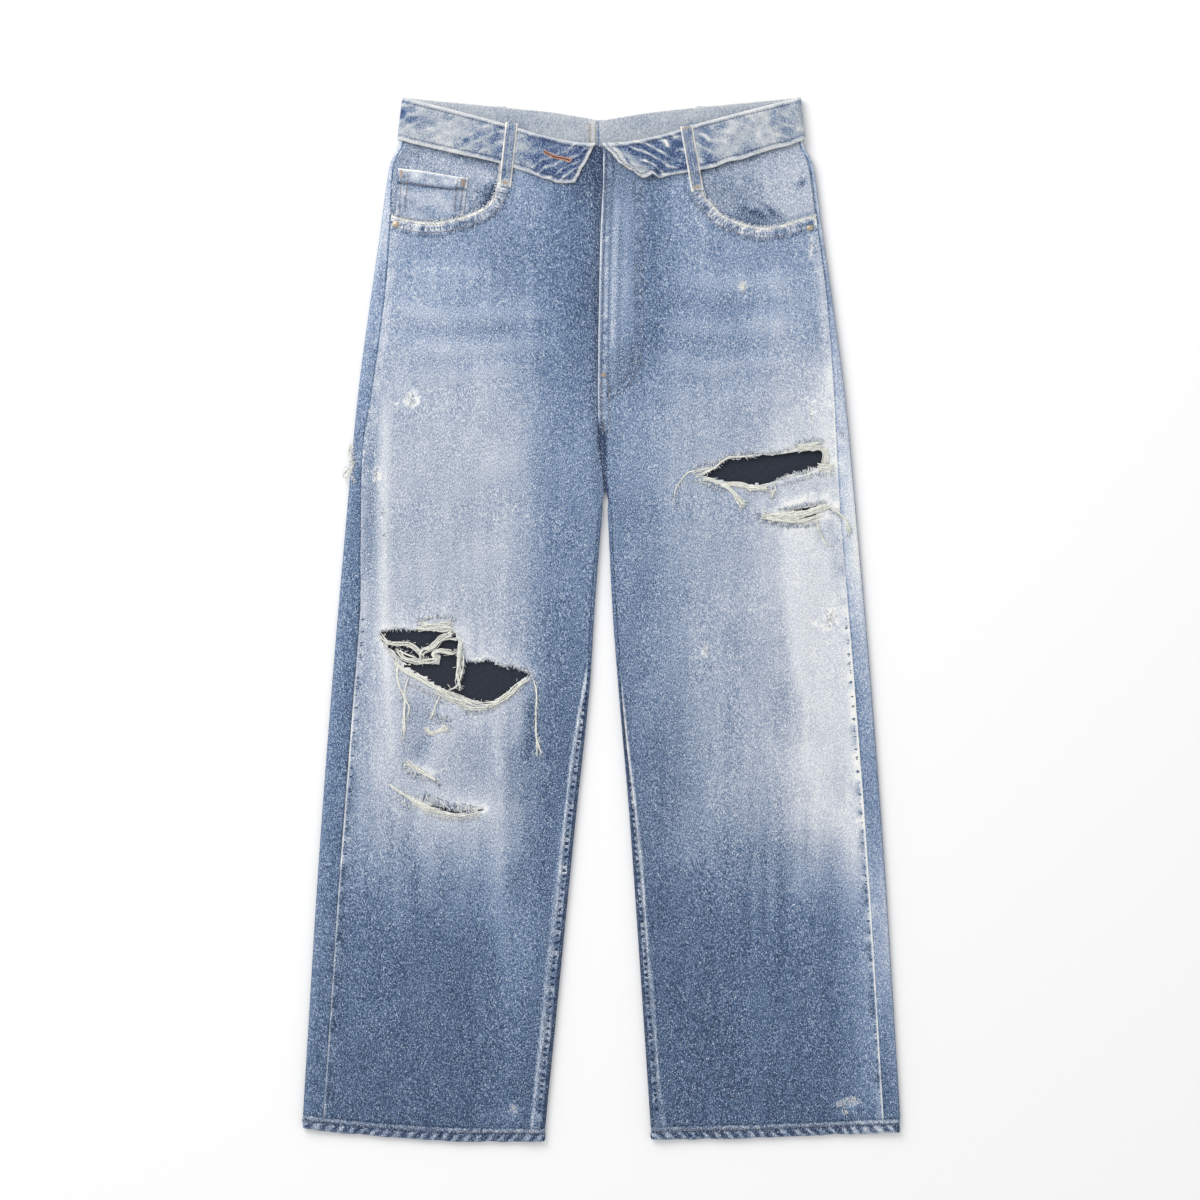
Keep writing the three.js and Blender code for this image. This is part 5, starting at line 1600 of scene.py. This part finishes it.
def build_stitches():
    threads = {"ochre": OCHRE, "grey": THREAD, "umber": UMBER, "orange": ORANGE, "bartack": BARTACK}
    groups = {name: [] for name in threads}
    stitch_pockets_and_fly(groups)
    for side in (RIGHT, LEFT):
        stitch_leg_and_band(groups, side)
    stitch_backs(groups)
    stitch_front_loop(groups, (-89.5, 26), (-96.5, 90), [])
    stitch_front_loop(groups, (84.5, 29), (96, 94), [(3.0, 3)])
    stitch_coin_pocket(groups)
    for k in range(4):
        foot_of_fly = [(-1.0, 275.5 + 0.9 * k), (5.5, 276.5 + 0.9 * k)]
        groups["bartack"] += stitch_row(foot_of_fly, on_front, 6.0, 0.96, -0.1)
    stitch_buttonhole(groups)
    for name, material in threads.items():
        strands(f"stitches_{name}", "denim", groups[name], [0.36] * len(groups[name]), material)


build_stitches()


# Bundles of cotton threads left across and round the rips: route of (x, drop), spread at its start and end,
# number of strands, radius of a strand, height above the cloth
BUNDLES = [
    # right leg: yarns torn out of the outer edge
    ([(-248, 362), (-251, 368), (-255.5, 374), (-258, 377), (-257, 380), (-253.5, 378.5), (-250, 370),
      (-247, 364)],
     1.8, 1.8, 7, 0.45, 0.0),
    ([(-247.5, 348), (-251, 350), (-252.5, 355), (-251, 360), (-247.5, 361)], 2.6, 2.6, 8, 0.45, 0.0),
    # right knee: across the upper opening
    ([(-184, 527), (-172, 528.5), (-160, 528.5), (-148, 527)], 8, 9, 15, 0.55, 0.5),
    ([(-222, 535), (-214.5, 543.5), (-205, 546), (-193.5, 546.5), (-183.5, 552), (-177.5, 559)],
     3.6, 3.6, 7, 0.6, 1.4),
    ([(-146, 536), (-160, 541), (-169, 548.5), (-179, 553), (-181, 562)], 7.5, 3.4, 10, 0.6, 1.9),
    ([(-204.5, 551.5), (-198, 560), (-186, 563.5), (-172, 564), (-164, 561), (-168.5, 556), (-161, 553),
      (-150, 555), (-143.5, 552)],
     4.5, 3.4, 8, 0.6, 1.2),
    ([(-206, 551), (-195, 556), (-184, 560)], 0.8, 0.8, 2, 0.6, 1.6),
    # the strands that hang down over the main opening
    ([(-140.5, 541), (-142, 556), (-142.7, 571), (-143, 583)], 3.2, 4.4, 7, 0.6, 2.2),
    ([(-137.6, 555), (-138.5, 571), (-142, 583), (-146, 589), (-152.3, 592)], 0.8, 1.6, 3, 0.5, 2.4),
    ([(-143.5, 575), (-142, 585), (-140.5, 592)], 1.2, 2.2, 3, 0.5, 2.3),
    # its lower edge
    ([(-210, 558), (-199, 571), (-183, 580), (-165.5, 589.5), (-149, 598), (-132, 604), (-115.6, 608)],
     3.0, 6.0, 10, 0.6, 0.9),
    ([(-166, 591), (-150, 601), (-134, 607)], 5, 5, 6, 0.55, 0.7),
    ([(-118, 608), (-104, 603.5), (-91, 595), (-80.5, 585), (-70, 579)], 6.5, 3.2, 9, 0.6, 0.9),
    ([(-140, 609), (-126, 610), (-112, 609.5)], 4, 3, 5, 0.5, 0.5),
    # long loose threads
    ([(-202, 562), (-204.4, 575), (-202, 588), (-197, 600), (-197, 618), (-198, 639)],
     0.9, 2.3, 3, 0.75, 0.7),
    ([(-192.6, 579), (-196.3, 591), (-195.5, 601.5), (-192, 609), (-194, 619)], 0.9, 1.0, 2, 0.65, 0.8),
    ([(-161.8, 598), (-165.5, 607), (-168.5, 616), (-172, 621)], 1.4, 0.8, 3, 0.6, 0.7),
    ([(-68, 582.5), (-65, 594), (-65.7, 615), (-65, 637), (-62.8, 648), (-59, 657)], 1.2, 1.4, 3, 0.75, 0.8),
    ([(-65, 640), (-64.5, 650), (-64.5, 658.5)], 0.6, 1.0, 2, 0.55, 0.8),
    ([(-175.5, 628), (-171.5, 634.5), (-163, 633), (-152, 629)], 3.0, 4.8, 12, 0.5, 0.5),
    # the tear and the slit below the knee
    ([(-196, 663), (-187.5, 668), (-178, 674.5), (-165, 682)], 4.8, 1.5, 9, 0.5, 0.5),
    ([(-213, 686), (-201, 694), (-187, 702), (-173, 709), (-160, 714)], 1.6, 4.6, 13, 0.5, 0.6),
    ([(-168, 713), (-150, 717), (-136, 717.5), (-121, 714)], 2.6, 1.4, 5, 0.42, 0.5),
    ([(-190, 700), (-178, 708), (-170, 713)], 4.5, 5.5, 12, 0.5, 0.5),
    # left thigh: upper opening
    ([(101, 380.5), (110.7, 382.5), (121, 386.3), (131, 386.8), (142.6, 388), (150, 390), (168, 390.5)],
     3.2, 5.5, 15, 0.55, 0.8),
    ([(118.3, 386), (128.6, 392), (136.2, 401), (143, 409)], 2.2, 8.5, 16, 0.55, 1.2),
    ([(132, 386), (143, 389), (149.5, 394)], 1.4, 1.4, 3, 0.5, 1.3),
    ([(94, 374), (86.5, 374.6), (78.8, 383), (73.7, 393), (72.7, 403)], 0.5, 0.3, 2, 0.55, 0.8),
    ([(90, 374.5), (101, 371.5), (113, 369.5)], 2.6, 2.0, 5, 0.4, 0.7),
    ([(93, 378), (100, 377)], 3.0, 2.0, 5, 0.45, 0.6),
    ([(98, 377.5), (112, 370), (126, 360.3), (141, 359), (156, 357)], 1.4, 1.2, 5, 0.45, 0.7),
    ([(172, 385.5), (173.4, 392), (168.7, 400)], 1.6, 1.6, 3, 0.45, 0.9),
    ([(176, 383), (169.5, 389), (170.5, 398), (168, 403)], 0.8, 1.0, 2, 0.45, 0.9),
    ([(194, 350.5), (206, 349), (221, 347.5)], 5.5, 6.0, 14, 0.5, 0.5),
    ([(221.5, 350), (224.5, 357), (223.5, 367)], 4.5, 7.0, 9, 0.45, 0.9),
    ([(216, 370), (224, 369), (232, 370)], 6.0, 7.0, 16, 0.5, 0.6),
    # left thigh: lower opening
    ([(159, 418), (175, 418.5), (191, 419), (203, 415.5), (216, 411), (229, 408)], 6.5, 4.5, 18, 0.55, 1.3),
    ([(165, 421.5), (181, 422.5), (196, 423.3), (208, 421), (218, 416.5)], 2.6, 2.6, 9, 0.5, 0.9),
    ([(172, 415.5), (184, 415), (196, 413.5)], 2.4, 1.6, 7, 0.5, 0.9),
    ([(226, 408.5), (238, 416), (245.5, 426), (248.4, 438)], 1.0, 2.0, 4, 0.5, 0.9),
    ([(241, 419), (246, 430), (247, 434)], 1.0, 2.0, 3, 0.5, 0.9),
    ([(214, 421), (216.5, 430), (221, 441), (226, 449)], 2.6, 1.2, 6, 0.4, 0.6),
]

# Fringe of short fibres: route of (x, drop), direction (dx, ddrop), fibres per mm, length, dye from and to
FRINGES = [
    ([(-222, 532), (-205, 530), (-186, 531)], (0.1, 1), 2.2, 3.0, 0.1, 0.9),
    ([(-186, 524), (-172, 521), (-156, 520), (-146, 524)], (0.1, -1), 2.4, 4.0, 0.2, 0.95),
    ([(-143, 535), (-141, 545), (-138, 556)], (1, 0.3), 2.0, 2.6, 0.0, 0.5),
    ([(-138, 560), (-126, 562), (-114, 560), (-104, 563), (-98, 567), (-88, 566.5), (-77, 571)],
     (0.05, 1), 2.4, 3.2, 0.2, 0.9),
    ([(-80, 569), (-72, 575), (-69, 579)], (0.6, 0.6), 3.0, 4.0, 0.4, 1.0),
    ([(-218, 545), (-208, 556), (-200, 569)], (-1, 0.5), 2.0, 3.0, 0.0, 0.4),
    ([(-197, 582), (-182, 588), (-166, 596), (-156, 603)], (-0.1, 1), 2.6, 4.2, 0.1, 0.85),
    ([(-138, 612), (-122, 613), (-108, 609), (-94, 599), (-80, 588)], (0.2, 1), 2.4, 3.4, 0.1, 0.8),
    ([(-176, 616), (-166, 619), (-152, 624)], (0.1, -1), 3.0, 4.0, 0.4, 1.0),
    ([(-172, 618), (-162, 622), (-150, 627)], (0.1, 1), 2.2, 3.0, 0.2, 0.9),
    ([(-198, 664), (-190, 673), (-176, 680)], (-0.3, 1), 3.0, 4.6, 0.3, 1.0),
    ([(-184, 668), (-172, 677), (-162, 684)], (0.3, 1), 3.0, 4.2, 0.3, 1.0),
    ([(-176, 694), (-160, 701), (-146, 705), (-128, 707)], (0.05, 1), 5.0, 8.5, 0.2, 1.05),
    ([(-205, 690), (-190, 697), (-176, 702)], (0.2, 1), 3.0, 5.0, 0.1, 0.6),
    ([(-176, 712), (-160, 717), (-140, 719), (-121, 715)], (0.0, 1), 3.6, 4.0, 0.0, 0.4),
    ([(-206, 698), (-196, 704), (-186, 710)], (-0.6, 1), 1.5, 4.0, 0.1, 0.7),
    # worn through at the right-hand outline
    ([(-247, 352), (-249, 362), (-248.5, 374), (-245, 385)], (-1, 0.3), 2.6, 3.4, 0.0, 0.5),
    # left thigh
    ([(110, 371), (124, 360), (140, 358), (156, 356), (170, 356), (184, 354), (196, 349)],
     (0.0, -1), 3.0, 3.6, 0.3, 1.0),
    ([(194, 347), (206, 344), (222, 344)], (0.1, -1), 2.2, 3.6, 0.1, 0.9),
    ([(92, 371), (104, 367), (114, 366)], (-0.3, -1), 2.4, 3.4, 0.3, 0.9),
    ([(92, 381), (104, 384), (116, 389), (124, 391)], (-0.2, 1), 3.4, 4.0, 0.2, 0.9),
    ([(176, 383), (188, 379), (202, 375.5), (212, 372)], (0.0, -1), 3.2, 3.4, 0.0, 0.6),
    ([(180, 384), (196, 380), (214, 375), (230, 375)], (0.1, 1), 2.6, 4.0, 0.1, 0.7),
    ([(160, 390), (172, 392)], (0, 1), 2.4, 4.0, 0.0, 0.5),
    ([(158, 413), (158, 420), (163, 423)], (-1, 0.4), 4.0, 3.4, 0.2, 0.9),
    ([(163, 422), (180, 425), (200, 426), (214, 424)], (0.0, 1), 4.0, 3.6, 0.2, 1.0),
    ([(176, 413), (190, 411), (210, 407), (224, 405)], (0.0, -1), 3.6, 3.4, 0.1, 0.8),
    ([(226, 410), (234, 414), (238, 420)], (0.5, 1), 2.4, 4.0, 0.2, 0.9),
]

# Worn spots where a few white threads show: centre, half width, half height, fibres
SPOTS = [
    (-190, 302, 6, 8, 46), (-225.5, 377, 2.4, 8.5, 44), (-217, 413, 2.5, 2.5, 10), (-216, 437, 2.5, 2.5, 10),
    (-88, 1011, 5, 8, 36), (141, 189, 4.5, 7, 36), (209, 153, 3, 10, 26), (209, 315, 3, 11, 24),
    (240, 336, 4, 7, 26), (228, 519, 6, 12, 48), (103, 552, 4, 8, 26), (240, 1005, 6, 4.5, 60),
    (251, 1001, 7, 3.2, 60), (243, 1013, 4, 5, 30),
]


def build_bundles(rng):
    paths, radii = [], []
    for route, start_spread, end_spread, count, radius, lift in BUNDLES:
        line = spline(route, 1.5)
        n = len(line)
        f = np.linspace(0, 1, n)
        tangent = directions(line)
        across = np.stack([-tangent[:, 1], tangent[:, 0]], axis=1)
        surface = on_front(line[:, 0], line[:, 1])
        for k in range(count):
            place = (k + 0.5) / count - 0.5 + rng.uniform(-0.12, 0.12)
            spread = start_spread + (end_spread - start_spread) * f**1.5
            wander = noise(f * n * 1.5, 0 * f + 31.3 * k, 13, 1, 203)
            wiggle = noise(f * n * 1.5, 0 * f + 9.7 * k, 5, 1, 201) * 0.45
            offset = place * spread * (1 + 0.5 * (2 * f - 1) ** 6) + 0.38 * spread * wander + wiggle
            xy = line + across * offset[:, None]
            pile = lift + 0.5 * (1 - (2 * place) ** 2) + 0.35 * np.cos(2 * math.pi * f * 1.3 + k)
            z = surface + np.maximum(pile + rng.uniform(-0.3, 0.3), 0.35)
            cut_start = int(rng.uniform(0, 0.10) * n)
            cut_end = n - int(rng.uniform(0, 0.14) * n)
            path = np.concatenate([xy, z[:, None]], axis=1)[cut_start:cut_end]
            if len(path) > 2:
                paths.append(path)
                radii.append(radius * rng.uniform(0.5, 0.95))
    strands("rip_threads", "denim", paths, radii, COTTON)


class Fibres:
    """Short fibres, and sunk dark tubes painted as the shade in puckers, whose z is measured from the cloth's
    face.
    """

    def __init__(self, rng):
        self.rng = rng
        self.paths, self.radii, self.dyes_and_shading = [], [], []

    def fibre(self, x, drop, angle, length, low, high):
        rng = self.rng
        f = np.linspace(0, 1, 4)
        bend = rng.uniform(-0.7, 0.7)
        dx = np.sin(angle + bend * f) * length * f
        dy = np.cos(angle + bend * f) * length * f
        z = 0.15 + rng.uniform(0.2, 1.1) * np.sin(math.pi * f * 0.8)
        self.paths.append(np.stack([x + dx, drop + dy, z], axis=1))
        self.radii.append(rng.uniform(0.2, 0.36))
        self.dyes_and_shading.append(0.85 * rng.uniform(low, high) if rng.uniform() < 0.5 else rng.uniform(0, 0.1))

    # a sunk dark tube painted as the shade in a pucker
    def pucker(self, side, ends, drop, slope, dye_and_shading):
        outs = np.linspace(ends[0], ends[1], 4)
        drops = drop + slope * np.linspace(0, 1, 4) + self.rng.normal(0, 0.15, 4)
        self.paths.append(np.stack([side * outs, drops, [-0.3, -0.1, -0.1, -0.3]], axis=1))
        self.radii.append(self.rng.uniform(0.5, 0.8))
        self.dyes_and_shading.append(dye_and_shading)

    def build(self):
        every = np.stack(self.paths)
        every[..., 2] += on_front(every[..., 0].ravel(), every[..., 1].ravel()).reshape(every.shape[:2])
        strands("rip_fringe_and_pucker_shade", "denim", list(every), self.radii, FRAY_AND_PUCKER_SHADE, self.dyes_and_shading, sides=4)


def add_fringes(fibres):
    rng = fibres.rng
    for route, (dx, dy), density, length, low, high in FRINGES:
        line = spline(route, 0.5)
        lean = math.atan2(dx, dy)
        for _ in range(int(density * 0.5 * len(line))):
            x, drop = line[rng.integers(len(line))] + rng.normal(0, 0.7, 2)
            fibres.fibre(x, drop, lean + rng.normal(0, 0.4), length * rng.uniform(0.4, 1.3), low, high)


def add_hairs(fibres):
    """Hairs standing off the bundles."""
    rng = fibres.rng
    for route, *_ in BUNDLES:
        line = spline(route, 1.0)
        tangent = np.gradient(line, axis=0)
        for _ in range(int(0.8 * len(line))):
            k = rng.integers(len(line))
            lean = math.atan2(tangent[k, 0], tangent[k, 1]) + rng.normal(0, 0.5)
            x, drop = line[k] + rng.normal(0, 1.5, 2)
            fibres.fibre(x, drop, lean, rng.uniform(1.5, 5.5), 0.0, 0.45)


def add_spots(fibres):
    rng = fibres.rng
    for cx, cy, rx, ry, count in SPOTS:
        for _ in range(count):
            turn, reach = rng.uniform(0, 2 * math.pi), 0.85 * math.sqrt(rng.uniform())
            x, drop = cx + reach * rx * math.cos(turn), cy + reach * ry * math.sin(turn)
            upright = rng.uniform() < (0.85 if ry >= rx else 0.1)
            angle = rng.normal(0, 0.3) if upright else math.pi / 2 + rng.normal(0, 0.4)
            turned = angle + (math.pi if rng.uniform() < 0.5 else 0)
            fibres.fibre(x, drop, turned, rng.uniform(1.2, 3.4), 0.0, 0.8)


def add_pocket_fluff(fibres, side):
    rng = fibres.rng
    line = spline(pocket_opening(side), 0.5)[30:]
    for _ in range(420):
        x, drop = line[rng.integers(len(line))] + rng.normal(0, 0.6, 2)
        fibres.fibre(x, drop, rng.uniform(0, 2 * math.pi), rng.uniform(0.8, 2.4), 0.0, 0.25)


def add_pocket_pucker_shade(fibres, side):
    """Dark tubes painted as the shade of puckers between the two rows of stitches along a pocket opening."""
    rng = fibres.rng
    inset = 1 if side == RIGHT else -1
    near = beside(pocket_opening(side), inset * 3.6, 0.5)
    far = beside(pocket_opening(side), inset * 10.4, 0.5)
    k = 110
    while k < len(near) - 4:
        a, b = rng.uniform(0, 0.45), rng.uniform(0.55, 1)
        f = np.linspace(a, b, 4)[:, None]
        path = near[k] * (1 - f) + far[k] * f + rng.normal(0, 0.25, (4, 2))
        fibres.paths.append(np.concatenate([path, [[0.12], [0.3], [0.3], [0.12]]], axis=1))
        fibres.radii.append(rng.uniform(0.25, 0.5))
        fibres.dyes_and_shading.append(rng.uniform(0.6, 1.2))
        k += int(rng.uniform(2.5, 7))


def add_seam_pucker_shade(fibres, side):
    """Dark tubes painted as the shade of puckers along the felled inseam and beside the side seam."""
    rng = fibres.rng
    drop = 566.0
    while drop < HEM_DROP - 4:
        start, width = inner_edge[side](drop), INSEAM_WIDTH[side](drop)
        ends = start + width * np.array([rng.uniform(0.26, 0.36), rng.uniform(0.72, 0.84)])
        slope = rng.uniform(-0.6, 1.2)
        for step in (-0.95, 0.0, 0.95):
            shorter = rng.uniform(-0.05, 0.12, 2) * width * np.array([1, -1])
            fibres.pucker(side, ends + shorter, drop + step, slope, rng.uniform(1.1, 1.45))
        drop += rng.uniform(5.2, 8.2)
    drop = 520.0
    while drop < HEM_DROP - 4:
        seam = outline(drop) - side_seam[side](drop)
        for _ in range(rng.integers(1, 4)):
            ends = seam - np.array([rng.uniform(1.6, 2.4), rng.uniform(3.5, 6.5)])
            middle, slope = drop + rng.uniform(-1.6, 1.6), rng.uniform(-0.6, 0.6)
            fibres.pucker(side, ends, middle, slope, rng.uniform(0.9, 1.3))
        drop += rng.uniform(7, 14)


def build_fraying():
    rng = np.random.default_rng(7)
    build_bundles(rng)
    fibres = Fibres(rng)
    add_fringes(fibres)
    add_hairs(fibres)
    add_spots(fibres)
    for side in (RIGHT, LEFT):
        add_pocket_fluff(fibres, side)
    for side in (RIGHT, LEFT):
        add_pocket_pucker_shade(fibres, side)
        add_seam_pucker_shade(fibres, side)
    fibres.build()


build_fraying()


# ---------------------------------------------------------------- stage
def camera():
    data = bpy.data.cameras.new("camera")
    distance, shown = 4.0, 1.2
    data.lens = data.sensor_width * distance / shown
    data.clip_end = 20
    made = bpy.data.objects.new("camera", data)
    made.location = (-0.0015, TOP_Y * MM - 0.502, distance)
    bpy.context.scene.collection.objects.link(made)
    bpy.context.scene.camera = made


def light(name, location, size, power):
    data = bpy.data.lights.new(name, "AREA")
    data.shape, data.size, data.energy = "DISK", size, power
    made = bpy.data.objects.new(name, data)
    made.location = location
    made.rotation_mode = "QUATERNION"
    made.rotation_quaternion = (-made.location).to_track_quat("-Z", "Y")
    bpy.context.scene.collection.objects.link(made)


def stage():
    half, depth = 6.0, -0.0004
    mesh = bpy.data.meshes.new("floor")
    corners = [(-half, -half, depth), (half, -half, depth), (half, half, depth), (-half, half, depth)]
    mesh.from_pydata(corners, [], [(0, 1, 2, 3)])
    floor = bpy.data.objects.new("floor", mesh)
    bpy.context.scene.collection.objects.link(floor)
    material, _, shader = new_material("floor")
    shader.inputs["Base Color"].default_value = (0.93, 0.93, 0.93, 1)
    shader.inputs["Roughness"].default_value = 0.9
    floor.data.materials.append(material)
    world = bpy.data.worlds.new("studio")
    bpy.context.scene.world = world
    world.use_nodes = True
    world.node_tree.nodes["Background"].inputs[0].default_value = (1, 1, 1, 1)
    world.node_tree.nodes["Background"].inputs[1].default_value = 0.78
    light("key", (-1.5, 1.9, 1.9), 2.2, 58)
    bpy.context.scene.view_settings.view_transform = "Standard"
    bpy.context.scene.view_settings.look = "None"


camera()
stage()
